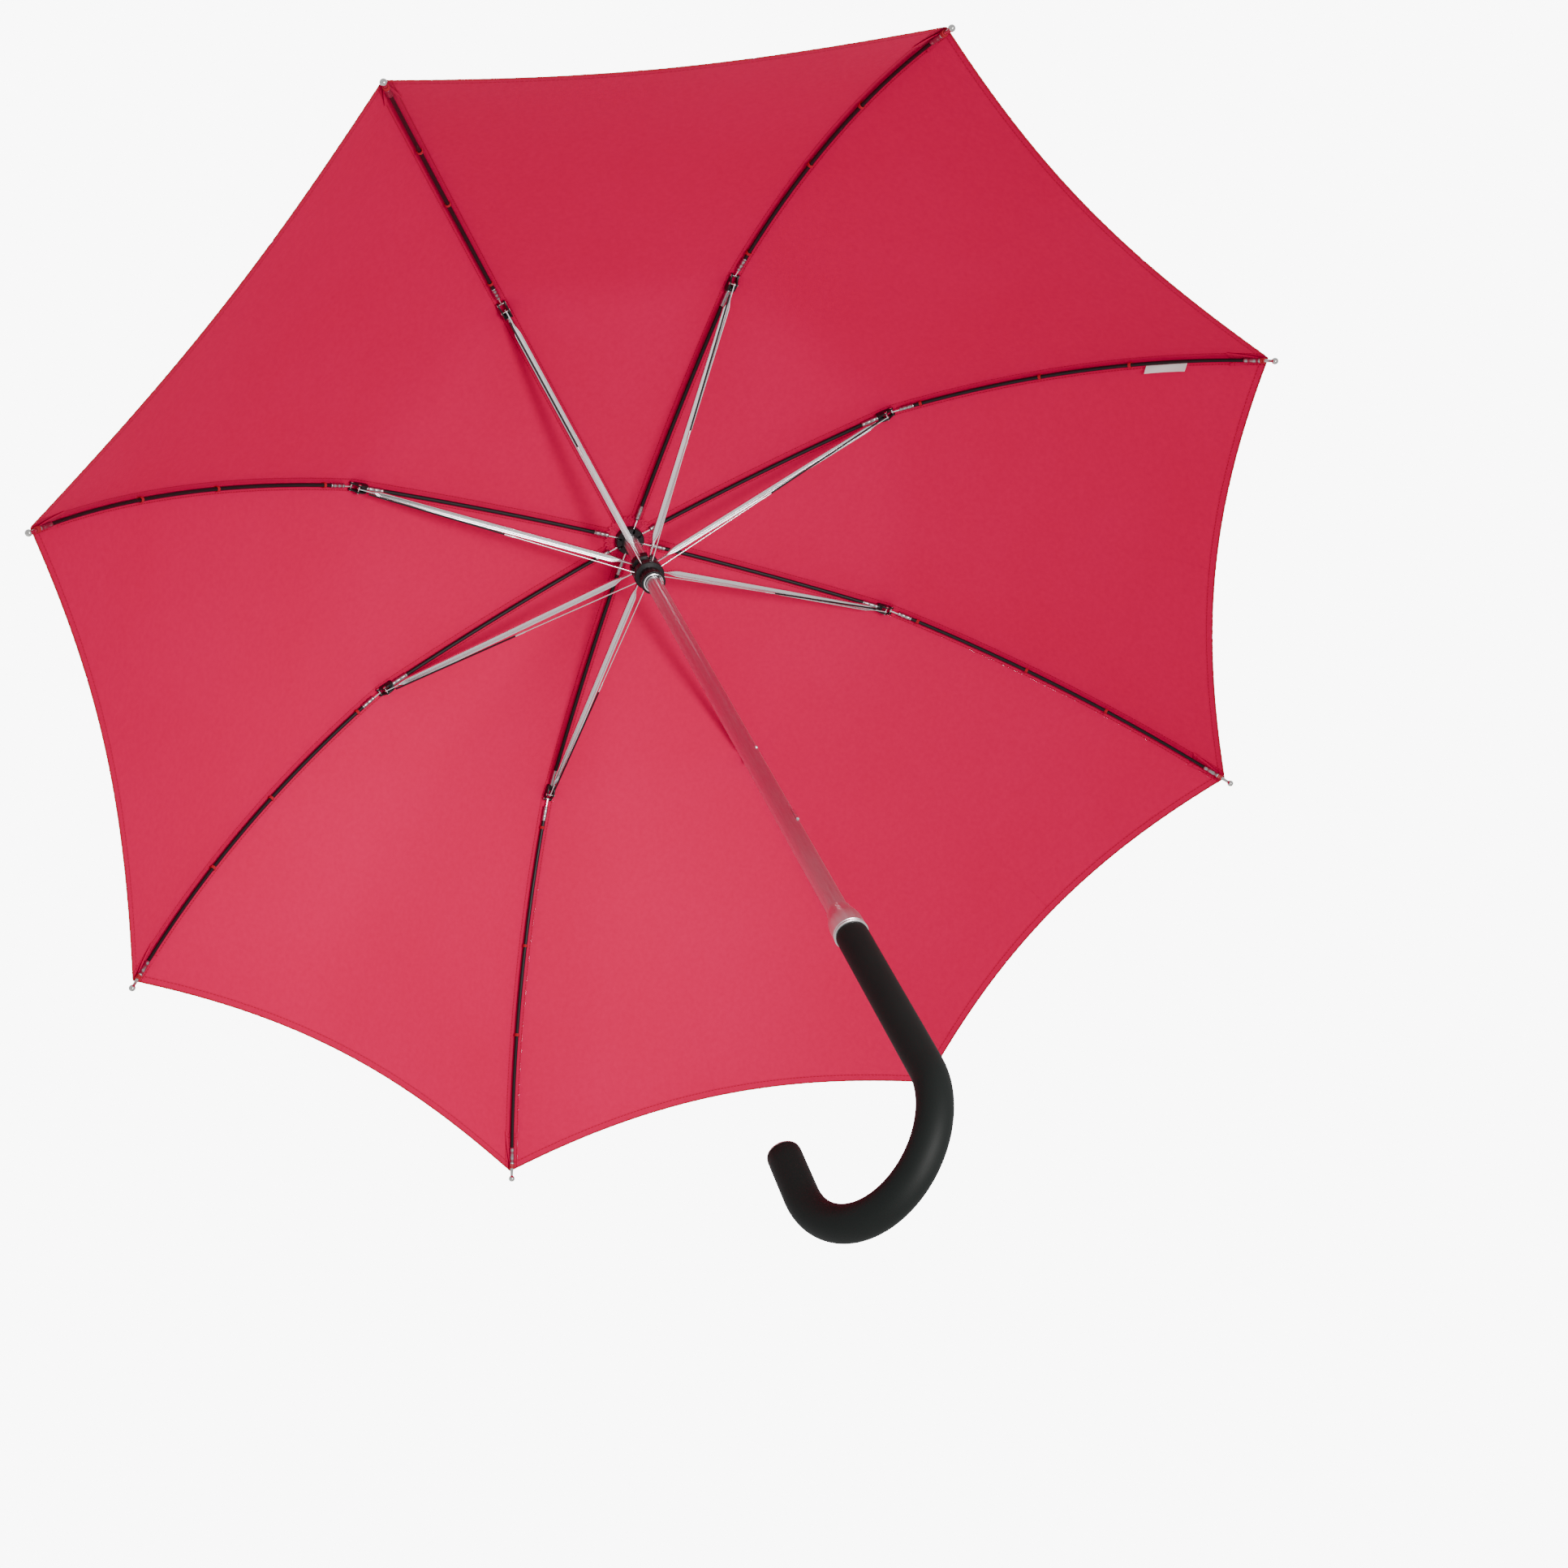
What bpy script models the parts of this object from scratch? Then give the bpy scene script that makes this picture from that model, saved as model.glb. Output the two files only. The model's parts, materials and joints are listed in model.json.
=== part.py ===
"""A stick umbrella, stored open, modelled in metres with +Z along the shaft towards the ferrule.

The origin is on the shaft's axis, half-way up the straight stretch of the grip. The crook hooks towards +X.
Eight ribs hinge on the crown. Each one is driven by a stretcher from the runner, and a thin link lies in
the stretcher's channel. Arm and stretcher are equally long and both pivots lie at the same distance from
the axis, so the runner slides exactly along the shaft while the canopy folds.
"""

from math import atan2, cos, hypot, pi, radians, sin

import bmesh
import bpy
from mathutils import Matrix, Vector

# Driving dimensions, in metres and degrees.
GAP = 0.0003  # what touching pieces keep between them
RIBS = 8
FIRST_RIB = 22.5  # azimuth of rib 0, so that the crook's plane lies mid-panel
HALF_PANEL = radians(180 / RIBS)

GRIP_LENGTH = 0.124
CROWN_Z = 0.683  # the top of the notched crown's hub
COLLAR_Z = GRIP_LENGTH / 2
CROOK_RADIUS = 0.052
GRIP_RADIUS = 0.0104
HOOK_LENGTH = 0.0315
CAP_HEIGHT = 0.0025
CAP_RISE = 0.0018  # of the cap's dome
SOCKET_DEPTH = 0.030

SHAFT_RADIUS = 0.007
SHAFT_WALL = 0.0006
SHAFT_TOP = CROWN_Z + 0.008
COLLAR_HEIGHT = 0.025
COLLAR_RADIUS = 0.011
FERRULE_TOP = CROWN_Z + 0.067

HINGE_RADIUS = 0.010  # of the pivots on the crown and on the runner
HINGE_Z = CROWN_Z - 0.006
INNER_CHORD = 0.254
INNER_SLOPE = radians(6)  # below the horizontal, of the chord
INNER_TURN = radians(5)  # how far the slope departs from the chord's at either end
TIP_RADIUS = 0.510
TIP_DROP = 0.272  # of the ball tips, below CROWN_Z
OUTER_TURN = radians(17)
ARM = 0.248  # from the crown's pivot to the stretcher's pivot, and the stretcher's own length
ARM_SLOPE = radians(7)
LINK_DROP = 0.016  # from the stretchers' pivots on the runner to the links' pivots
LINK_RADIUS = 0.0114  # of the links' pivots, outside the wire ring that the stretchers turn on
LINK_SIDE = -0.0012
LINK_WIRE = 0.0006
LINK_ROD = 0.0008
LINK_LENGTH = 0.240
TONGUE_SIDE = 0.0006

RIB_RADIUS = 0.0018
OUTER_RADIUS = 0.0017
END_RADIUS = 0.0014
BALL_RADIUS = 0.00275

CANOPY_LIFT = 0.004  # of the fabric's middle, above the ribs' centreline
CANOPY_THICKNESS = 0.0006
HEM_MARGIN = 0.008  # from the ball tip to the fabric's corner
SCALLOP = 0.028
STRAP_WIDTH = 0.024
STRAP_THICKNESS = 0.001
STRAP_RIB = 6
STRAP_START = 0.012  # from the knuckle
STRAP_END = 0.160

CATCH_AZIMUTH = pi
CATCH_WIDTH = 0.0024
CATCH_HEIGHT = 0.012
CATCH_REACH = 0.0081
TOP_CATCH_Z = CROWN_Z - 0.1135
LOWER_CATCH_Z = CROWN_Z - 0.4965

BLACK = (0.012, 0.012, 0.013, 1)
RED = (0.62, 0.012, 0.035, 1)
STEEL = (0.72, 0.72, 0.73, 1)


def clear_scene():
    for obj in list(bpy.data.objects):
        bpy.data.objects.remove(obj, do_unlink=True)


def new_collection(name):
    collection = bpy.data.collections.new(name)
    bpy.context.scene.collection.children.link(collection)
    return collection


clear_scene()
PARTS = new_collection("stick_umbrella")
CUTTERS = new_collection("cutters")


def material(name, color, roughness, metallic=0.0):
    found = bpy.data.materials.new(name)
    found.use_nodes = True
    shader = found.node_tree.nodes["Principled BSDF"]
    shader.inputs["Base Color"].default_value = color
    shader.inputs["Roughness"].default_value = roughness
    shader.inputs["Metallic"].default_value = metallic
    return found


def place(name, data, finish, matrix=None):
    """A new object of the umbrella, with its own material."""
    obj = bpy.data.objects.new(name, data)
    PARTS.objects.link(obj)
    if finish:
        data.materials.clear()
        data.materials.append(finish)
    if matrix:
        obj.matrix_world = matrix
    return obj


def as_cutter(obj):
    for holder in list(obj.users_collection):
        holder.objects.unlink(obj)
    CUTTERS.objects.link(obj)
    obj.display_type = "WIRE"
    obj.hide_render = True
    return obj


def boolean(obj, other, operation):
    change = obj.modifiers.new(operation.lower(), "BOOLEAN")
    change.operation = operation
    change.solver = "EXACT"
    change.object = as_cutter(other)


def baked(obj):
    """The mesh that obj evaluates to, with its welded points. obj and its cutters are removed."""
    bpy.context.view_layer.update()
    graph = bpy.context.evaluated_depsgraph_get()
    mesh = bpy.data.meshes.new_from_object(obj.evaluated_get(graph))
    mesh.transform(obj.matrix_world)
    shape = bmesh.new()
    shape.from_mesh(mesh)
    bmesh.ops.remove_doubles(shape, verts=shape.verts, dist=1e-6)
    bmesh.ops.recalc_face_normals(shape, faces=shape.faces)
    shape.to_mesh(mesh)
    shape.free()
    used = [m.object for m in obj.modifiers if m.type == "BOOLEAN"]
    for old in [obj, *used]:
        bpy.data.objects.remove(old, do_unlink=True)
    return mesh


def smooth(mesh):
    mesh.shade_smooth()
    mesh.set_sharp_from_angle(angle=radians(35))


def mesh_object(name, build):
    """An object whose mesh is made by build(bmesh)."""
    mesh = bpy.data.meshes.new(name)
    shape = bmesh.new()
    build(shape)
    shape.to_mesh(mesh)
    shape.free()
    return place(name, mesh, None)


def box(name, low, high, matrix=None):
    low, high = Vector(low), Vector(high)
    size = Matrix.Diagonal((*(high - low), 1))

    def build(shape):
        at = Matrix.Translation((low + high) / 2) @ size
        bmesh.ops.create_cube(shape, size=1, matrix=at)

    obj = mesh_object(name, build)
    if matrix:
        obj.matrix_world = matrix
    return obj


def rod(name, start, end, radius, end_radius=None, segments=6):
    """A cylinder or cone between two points."""
    start, end = Vector(start), Vector(end)
    along = end - start
    turn = along.to_track_quat("Z", "Y").to_matrix().to_4x4()

    def build(shape):
        bmesh.ops.create_cone(
            shape,
            cap_ends=True,
            segments=segments,
            radius1=radius,
            radius2=radius if end_radius is None else end_radius,
            depth=along.length,
            matrix=Matrix.Translation((start + end) / 2) @ turn,
        )

    return mesh_object(name, build)


def turned(name, profile, finish, steps=28, closed=True):
    """A profile of (radius, z) points turned about Z. It runs down the outer side, top to bottom."""
    mesh = bpy.data.meshes.new(name)
    points = [(radius, 0, z) for radius, z in profile]
    edges = [(i, i + 1) for i in range(len(points) - 1)]
    if closed:
        edges.append((len(points) - 1, 0))
    mesh.from_pydata(points, edges, [])
    obj = place(name, mesh, finish)
    screw = obj.modifiers.new("turn", "SCREW")
    screw.steps = screw.render_steps = steps
    screw.use_merge_vertices = True
    screw.merge_threshold = 0.00001
    return obj


def wire(name, points, radius, end_radius=None, resolution=1):
    """A round bar through points, thinning to end_radius."""
    curve = bpy.data.curves.new(name, "CURVE")
    curve.dimensions = "3D"
    curve.bevel_depth = radius
    curve.bevel_resolution = resolution
    curve.use_fill_caps = True
    spline = curve.splines.new("POLY")
    spline.points.add(len(points) - 1)
    for i, (point, place_on) in enumerate(zip(spline.points, points)):
        point.co = (*place_on, 1)
        share = i / (len(points) - 1)
        point.radius = 1 + share * ((end_radius or radius) / radius - 1)
    return place(name, curve, None)


def plate(name, outline, hole, thickness, side):
    """A flat bar in the XZ plane, with a round hole at the origin, centred on y = side."""
    curve = bpy.data.curves.new(name, "CURVE")
    curve.dimensions = "2D"
    curve.fill_mode = "BOTH"
    curve.extrude = thickness / 2
    steps = 8
    circle = [(hole * cos(2 * pi * i / steps), hole * sin(2 * pi * i / steps)) for i in range(steps)]
    for loop in (outline, circle):
        spline = curve.splines.new("POLY")
        spline.points.add(len(loop) - 1)
        spline.use_cyclic_u = True
        for point, (x, z) in zip(spline.points, loop):
            point.co = (x, z, 0, 1)
    obj = place(name, curve, None)
    obj.matrix_world = Matrix.Translation((0, side, 0)) @ Matrix.Rotation(pi / 2, 4, "X")
    return obj


def tongue(name, length, half_height, hole, thickness, side, angle):
    """A flat tongue round a pivot at the origin, which runs off at an angle above +X."""
    arc = [pi / 2 + pi * i / 6 for i in range(7)]
    outline = [(half_height * cos(a), half_height * sin(a)) for a in arc]
    outline += [(length, -half_height), (length, half_height)]
    turn = [(x * cos(angle) - z * sin(angle), x * sin(angle) + z * cos(angle)) for x, z in outline]
    flat = plate(name, turn, hole, thickness, side)
    solid = bpy.data.objects.new(name, baked(flat))
    PARTS.objects.link(solid)
    return solid


def along_rib(start, slope, turn, chord, share):
    """The point at a share of an arc, and the slope there. The arc bends down evenly about its chord."""
    radius = chord / (2 * sin(turn))
    first = slope - turn
    here = first + 2 * turn * share
    x = start[0] + radius * (sin(here) - sin(first))
    z = start[1] + radius * (cos(here) - cos(first))
    return x, z, here


HINGE = (HINGE_RADIUS, HINGE_Z)
KNUCKLE = (HINGE_RADIUS + INNER_CHORD * cos(INNER_SLOPE), HINGE_Z - INNER_CHORD * sin(INNER_SLOPE))
TIP = (TIP_RADIUS, CROWN_Z - TIP_DROP)
OUTER_CHORD = hypot(TIP[0] - KNUCKLE[0], TIP[1] - KNUCKLE[1])
OUTER_SLOPE = atan2(KNUCKLE[1] - TIP[1], TIP[0] - KNUCKLE[0])
INNER_LENGTH = INNER_CHORD * INNER_TURN / sin(INNER_TURN)
OUTER_LENGTH = OUTER_CHORD * OUTER_TURN / sin(OUTER_TURN)
PIVOT = (HINGE_RADIUS + ARM * cos(ARM_SLOPE), HINGE_Z - ARM * sin(ARM_SLOPE))
RUNNER_Z = HINGE_Z - 2 * ARM * sin(ARM_SLOPE)
LINK_Z = RUNNER_Z - LINK_DROP
LINK_SLOPE = atan2(PIVOT[1] - 0.002 - LINK_Z, PIVOT[0] - LINK_RADIUS)


def rib_point(distance):
    """(radius, z, slope) of a rib's centreline at a distance from the crown's pivot. It may be negative."""
    if distance <= 0:
        slope = INNER_SLOPE - INNER_TURN
        return HINGE[0] + distance * cos(slope), HINGE[1] - distance * sin(slope), slope
    if distance <= INNER_LENGTH:
        return along_rib(HINGE, INNER_SLOPE, INNER_TURN, INNER_CHORD, distance / INNER_LENGTH)
    share = (distance - INNER_LENGTH) / OUTER_LENGTH
    return along_rib(KNUCKLE, OUTER_SLOPE, OUTER_TURN, OUTER_CHORD, share)


FLEX_AT = INNER_LENGTH + OUTER_LENGTH / 2
FLEX = rib_point(FLEX_AT)[:2]


def lifted(distance, lift):
    """The point that lies lift above a rib's centreline."""
    radius, z, slope = rib_point(distance)
    return radius + lift * sin(slope), z + lift * cos(slope)


def azimuth(i):
    return radians(FIRST_RIB + 360 / RIBS * i)


def at_pivot(i, pivot):
    """The matrix that puts a piece drawn about the origin in the XZ plane on a pivot of rib i."""
    return Matrix.Rotation(azimuth(i), 4, "Z") @ Matrix.Translation((pivot[0], 0, pivot[1]))


def repeat(name, mesh, finish, pivot):
    smooth(mesh)
    for i in range(RIBS):
        place(f"{name}_{i}", mesh, finish, at_pivot(i, pivot))


def line_points(start, end, count, pivot):
    """Points of a rib's centreline between two distances, from a pivot, in the XZ plane."""
    found = []
    for k in range(count):
        radius, z, _ = rib_point(start + (end - start) * k / (count - 1))
        found.append((radius - pivot[0], 0, z - pivot[1]))
    return found


def make_inner_ribs():
    tongue_length = 0.014
    base = wire("inner_bar", line_points(0.011, INNER_LENGTH - 0.009, 7, HINGE), RIB_RADIUS)
    base = bpy.data.objects.new("inner_rib", baked(base))
    PARTS.objects.link(base)
    slope = INNER_TURN - INNER_SLOPE
    boolean(base, tongue("crimp", tongue_length, 0.0015, 0.0008, 0.0012, 0, slope), "UNION")
    # Two cheeks straddle the outer rib's tongue and the stretcher's tongue, and a pin crosses at each pivot.
    knuckle = Vector((KNUCKLE[0] - HINGE[0], 0, KNUCKLE[1] - HINGE[1]))
    pivot = Vector((PIVOT[0] - HINGE[0], 0, PIVOT[1] - HINGE[1]))
    end_slope = INNER_SLOPE + INNER_TURN
    along = Matrix.Translation(knuckle) @ Matrix.Rotation(end_slope, 4, "Y")
    for side, low in (("left", -0.0037), ("right", 0.0023)):
        cheek = box(f"{side}_cheek", (-0.014, low, -0.0058), (0.0019, low + 0.0014, 0.0018), along)
        boolean(base, cheek, "UNION")
    boolean(base, box("cheek_bridge", (-0.014, -0.003, -0.0018), (-0.0103, 0.003, 0.0018), along), "UNION")
    half_pin = Vector((0, 0.0044, 0))
    for name, pin in (("knuckle_pin", knuckle), ("stretcher_pin", pivot)):
        boolean(base, rod(name, pin - half_pin, pin + half_pin, 0.0007), "UNION")
    repeat("rib_inner", baked(base), material("inner_rib", BLACK, 0.45), HINGE)


def make_outer_ribs():
    line = line_points(INNER_LENGTH + 0.008, FLEX_AT - GAP, 7, KNUCKLE)
    base = wire("outer_bar", line, OUTER_RADIUS)
    base = bpy.data.objects.new("outer_rib", baked(base))
    PARTS.objects.link(base)
    slope = OUTER_TURN - OUTER_SLOPE
    boolean(base, tongue("eye", 0.012, 0.0016, 0.001, 0.0012, 0, slope), "UNION")
    repeat("rib_mid", baked(base), material("outer_rib", BLACK, 0.4), KNUCKLE)

    end = INNER_LENGTH + OUTER_LENGTH
    line = line_points(FLEX_AT + 0.0008, end - 0.006, 7, FLEX)
    base = wire("end_bar", line, OUTER_RADIUS, END_RADIUS)
    base = bpy.data.objects.new("end_rib", baked(base))
    PARTS.objects.link(base)
    tip = Vector((TIP[0] - FLEX[0], 0, TIP[1] - FLEX[1]))
    back = Vector(line_points(end - 0.011, end, 2, FLEX)[0])
    boolean(base, rod("tip_cone", back, tip, 0.0021, 0.0012, 8), "UNION")

    def ball(shape):
        at = Matrix.Translation(tip)
        bmesh.ops.create_uvsphere(shape, u_segments=10, v_segments=6, radius=BALL_RADIUS, matrix=at)

    boolean(base, mesh_object("ball", ball), "UNION")
    repeat("rib_tip", baked(base), material("rib_tip", STEEL, 0.15, 1.0), FLEX)


def make_stretchers():
    """A channel with its open side down, between two flat tongues. The origin is the outer pivot."""
    base = box("channel", (0.014 - ARM, -0.0027, -0.0015), (-0.014, 0.0027, 0.0018))
    boolean(base, box("groove", (-ARM, -0.0023, -0.002), (0, 0.0023, 0.001)), "DIFFERENCE")
    for name, shift, turn in (("outer_tongue", 0, pi), ("inner_tongue", -ARM, 0)):
        flat = tongue(name, 0.020, 0.0018, 0.001, 0.0008, TONGUE_SIDE, turn)
        flat.matrix_world = Matrix.Translation((shift, 0, 0))
        boolean(base, flat, "UNION")
    mesh = baked(base)
    # The stretcher rises outwards from the runner by the same angle as the arm falls.
    mesh.transform(Matrix.Rotation(-ARM_SLOPE, 4, "Y"))
    repeat("stretcher", mesh, material("stretcher", STEEL, 0.3, 1.0), PIVOT)


def make_links():
    """A thin wire and the thicker rod that it enters, with the wire's hook at the origin."""
    middle, overlap = 0.118, 0.006
    ends = (-LINK_WIRE, middle, middle - overlap, LINK_LENGTH)
    hook, joint, rod_start, end = ((x, LINK_SIDE, 0) for x in ends)
    base = rod("link_wire", hook, joint, LINK_WIRE, segments=8)
    thick = rod("link_rod", rod_start, end, LINK_ROD, segments=8)
    boolean(base, thick, "UNION")
    mesh = baked(base)
    mesh.transform(Matrix.Rotation(-LINK_SLOPE, 4, "Y"))
    repeat("link", mesh, material("link", STEEL, 0.25, 1.0), (LINK_RADIUS, LINK_Z))


def panel_point(distance, across, lift):
    """A point of the canopy. across runs from -1 to 1 between the seams beside a rib, along flat chords."""
    radius, z = lifted(distance, lift)
    x = radius * (1 - abs(across) * sin(HALF_PANEL) ** 2)
    y = radius * across * cos(HALF_PANEL) * sin(HALF_PANEL)
    return Vector((x, y - (GAP * 0.6 if across > 0 else -GAP * 0.6) * abs(across), z))


def make_panels():
    """One sewn panel of fabric over each rib: straight chords between ribs, and a scalloped hem."""
    inner_rows, rows, columns = 4, 13, 6
    inside = SHAFT_RADIUS + 2 * GAP - HINGE_RADIUS
    outside = INNER_LENGTH + OUTER_LENGTH - HEM_MARGIN
    grid = bmesh.new()
    verts = []
    for i in range(rows + 1):
        line = []
        for j in range(columns + 1):
            across = 2 * j / columns - 1
            hem = outside - SCALLOP * (1 - (1 - abs(across)) ** 2)
            if i <= inner_rows:
                distance = inside + (INNER_LENGTH - inside) * i / inner_rows
            else:
                distance = INNER_LENGTH + (hem - INNER_LENGTH) * (i - inner_rows) / (rows - inner_rows)
            line.append(grid.verts.new(panel_point(distance, across, CANOPY_LIFT)))
        verts.append(line)
    for i in range(rows):
        for j in range(columns):
            corners = (verts[i][j], verts[i + 1][j], verts[i + 1][j + 1], verts[i][j + 1])
            grid.faces.new(corners)
    mesh = bpy.data.meshes.new("panel")
    grid.to_mesh(mesh)
    grid.free()
    base = place("panel", mesh, None)
    shell = base.modifiers.new("shell", "SOLIDIFY")
    shell.thickness = CANOPY_THICKNESS
    shell.offset = 0
    mesh = baked(base)
    mesh.transform(Matrix.Translation((-HINGE[0], 0, -HINGE[1])))
    repeat("gore", mesh, material("canopy_fabric", RED, 0.7), HINGE)


def make_strap():
    """The closing strap, which lies loose along one rib, outside the fabric."""
    count = 9
    band = bmesh.new()
    lift = CANOPY_LIFT + CANOPY_THICKNESS / 2 + 2 * GAP + STRAP_THICKNESS / 2
    lines = []
    for k in range(count):
        distance = INNER_LENGTH + STRAP_START + (STRAP_END - STRAP_START) * k / (count - 1)
        radius, z = lifted(distance, lift)
        ends = [(radius - KNUCKLE[0], side * STRAP_WIDTH / 2, z - KNUCKLE[1]) for side in (-1, 1)]
        lines.append([band.verts.new(end) for end in ends])
    for a, b in zip(lines, lines[1:]):
        band.faces.new((a[0], b[0], b[1], a[1]))
    mesh = bpy.data.meshes.new("strap")
    band.to_mesh(mesh)
    band.free()
    strap = place("strap", mesh, material("strap", RED, 0.75), at_pivot(STRAP_RIB, KNUCKLE))
    shell = strap.modifiers.new("shell", "SOLIDIFY")
    shell.thickness = STRAP_THICKNESS
    shell.offset = 0


def slots(obj, z_low, z_high, r_low, r_high, side, width):
    """Cuts a radial slot through obj at every rib."""
    for i in range(RIBS):
        turn = Matrix.Rotation(azimuth(i), 4, "Z")
        low = (r_low, side - width / 2, z_low)
        high = (r_high, side + width / 2, z_high)
        boolean(obj, box(f"{obj.name}_slot_{i}", low, high, turn), "DIFFERENCE")


def make_crown():
    """The notched hub, with the wire that the ribs turn on crossing its slots."""
    outer, bore = 0.013, SHAFT_RADIUS + GAP
    low, high = CROWN_Z - 0.0105, CROWN_Z - 0.0033
    edge = 0.0006
    profile = [(bore, high), (outer - edge, high), (outer, high - edge), (outer, low + edge)]
    profile += [(outer - edge, low), (bore, low)]
    crown = turned("crown", profile, material("crown", BLACK, 0.4))
    slots(crown, low - 0.001, HINGE_Z + 0.0019, 0.0081, outer + 0.001, 0, 0.002)
    boolean(crown, pin_ring("crown_wire", HINGE_Z), "UNION")


def pin_ring(name, z):
    """The wire ring that threads the pivots."""
    bpy.ops.mesh.primitive_torus_add(
        location=(0, 0, z),
        major_radius=HINGE_RADIUS,
        minor_radius=0.0004,
        major_segments=24,
        minor_segments=6,
    )
    ring = bpy.context.object
    ring.name = name
    return ring


def make_rosette():
    """The fabric disc between the crown and the canopy."""
    middle = CROWN_Z - 0.0028
    inner, outer = SHAFT_RADIUS + 2 * GAP, 0.024
    half, fall = 0.0002, 0.0006
    profile = [(inner, middle + half), (outer, middle + half - fall)]
    profile += [(outer, middle - half - fall), (inner, middle - half)]
    turned("inner_rosette", profile, material("rosette", RED, 0.8))


def make_top():
    """The cap that clamps the fabric, and the ferrule, which plugs into the shaft."""
    bore = SHAFT_RADIUS + GAP
    low = CROWN_Z - 0.0013
    profile = [(bore, low + 0.0088), (0.0098, low + 0.0088), (0.0125, low + 0.005), (0.0165, low + 0.0012)]
    profile += [(0.0165, low), (bore, low)]
    turned("crown_cap", profile, material("crown_cap", BLACK, 0.35))
    seat = SHAFT_TOP + GAP
    spigot = SHAFT_RADIUS - SHAFT_WALL - GAP
    profile = [(0, FERRULE_TOP), (0.0032, FERRULE_TOP), (0.0042, FERRULE_TOP - 0.001)]
    profile += [(0.0048, FERRULE_TOP - 0.006), (0.0052, seat + 0.022), (0.0075, seat + 0.008)]
    profile += [(0.0085, seat + 0.005), (0.0085, seat)]
    profile += [(spigot, seat), (spigot, seat - 0.018), (0, seat - 0.018)]
    turned("ferrule", profile, material("ferrule", BLACK, 0.3), closed=False)


def make_shaft():
    inner = SHAFT_RADIUS - SHAFT_WALL
    low = COLLAR_Z - SOCKET_DEPTH
    profile = [(inner, SHAFT_TOP), (SHAFT_RADIUS, SHAFT_TOP), (SHAFT_RADIUS, low), (inner, low)]
    shaft = turned("shaft_tube", profile, material("shaft", STEEL, 0.3, 1.0))
    margin = 0.0004
    turn = Matrix.Rotation(CATCH_AZIMUTH, 4, "Z")
    for name, z in (("top", TOP_CATCH_Z), ("lower", LOWER_CATCH_Z)):
        corner = (0.005, -CATCH_WIDTH / 2 - margin, z - margin)
        opposite = (0.008, CATCH_WIDTH / 2 + margin, z + CATCH_HEIGHT + margin)
        boolean(shaft, box(f"{name}_window", corner, opposite, turn), "DIFFERENCE")


def make_catches():
    """Two sprung catches in the shaft: one under the open runner, one over the closed runner."""
    finish = material("catch", STEEL, 0.25, 1.0)
    for name, z in (("top_catch", TOP_CATCH_Z), ("lower_catch", LOWER_CATCH_Z)):
        size = (0.0045, -CATCH_WIDTH / 2, 0), (CATCH_REACH, CATCH_WIDTH / 2, CATCH_HEIGHT)
        catch = box(name, *size, Matrix.Translation((0, 0, z)) @ Matrix.Rotation(CATCH_AZIMUTH, 4, "Z"))
        catch.data.materials.append(finish)
        rounding = catch.modifiers.new("rounding", "BEVEL")
        rounding.width = 0.0005
        rounding.segments = 1


def make_runner():
    """The sliding hub: a ring for the stretchers, a ring for the links, a sleeve and a thumb flange."""
    bore, neck, edge = SHAFT_RADIUS + GAP, 0.009, 0.0006
    ring, low_ring, flange = 0.013, 0.0134, 0.0105
    top, ring_low = RUNNER_Z + 0.0035, RUNNER_Z - 0.0045
    low_ring_top, low_ring_low = LINK_Z + 0.0035, LINK_Z - 0.0035
    bottom = RUNNER_Z - 0.034
    flange_top = bottom + 0.003
    profile = [(bore, top), (ring - edge, top), (ring, top - edge)]
    profile += [(ring, ring_low + edge), (ring - edge, ring_low), (neck, ring_low - 0.001)]
    profile += [(neck, low_ring_top), (low_ring - edge, low_ring_top), (low_ring, low_ring_top - edge)]
    profile += [(low_ring, low_ring_low + edge), (low_ring - edge, low_ring_low)]
    profile += [(neck, low_ring_low - 0.001)]
    profile += [(neck, flange_top + 0.0005), (flange, flange_top), (flange, bottom + edge)]
    profile += [(flange - edge, bottom), (bore, bottom)]
    runner = turned("runner", profile, material("runner", BLACK, 0.4))
    # The stretchers' slots, the slots that the folded links swing into above their own, and the links' own.
    slots(runner, RUNNER_Z - 0.0023, top + 0.001, 0.0079, ring + 0.001, -0.00035, 0.0035)
    link_width = 2 * LINK_WIRE + 4 * GAP
    slots(runner, ring_low - 0.002, RUNNER_Z - 0.0022, 0.0103, ring + 0.001, LINK_SIDE, link_width)
    slots(runner, LINK_Z - 0.001, low_ring_top + 0.0005, 0.0103, low_ring + 0.001, LINK_SIDE, link_width)
    key = box("keyway", (0.006, -0.0017, bottom - 0.001), (0.0084, 0.0017, top + 0.001))
    key.matrix_world = Matrix.Rotation(CATCH_AZIMUTH, 4, "Z")
    boolean(runner, key, "DIFFERENCE")
    boolean(runner, pin_ring("stretcher_wire", RUNNER_Z), "UNION")


def make_collar():
    bore, edge = SHAFT_RADIUS + GAP, 0.0005
    low = COLLAR_Z + GAP
    middle, high = low + COLLAR_HEIGHT * 0.48, low + COLLAR_HEIGHT
    profile = [(bore, high), (bore + edge, high), (COLLAR_RADIUS - edge, middle)]
    profile += [(COLLAR_RADIUS, middle - edge), (COLLAR_RADIUS, low + edge)]
    profile += [(COLLAR_RADIUS - edge, low), (bore, low)]
    turned("collar", profile, material("collar", STEEL, 0.25, 1.0))


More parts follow.
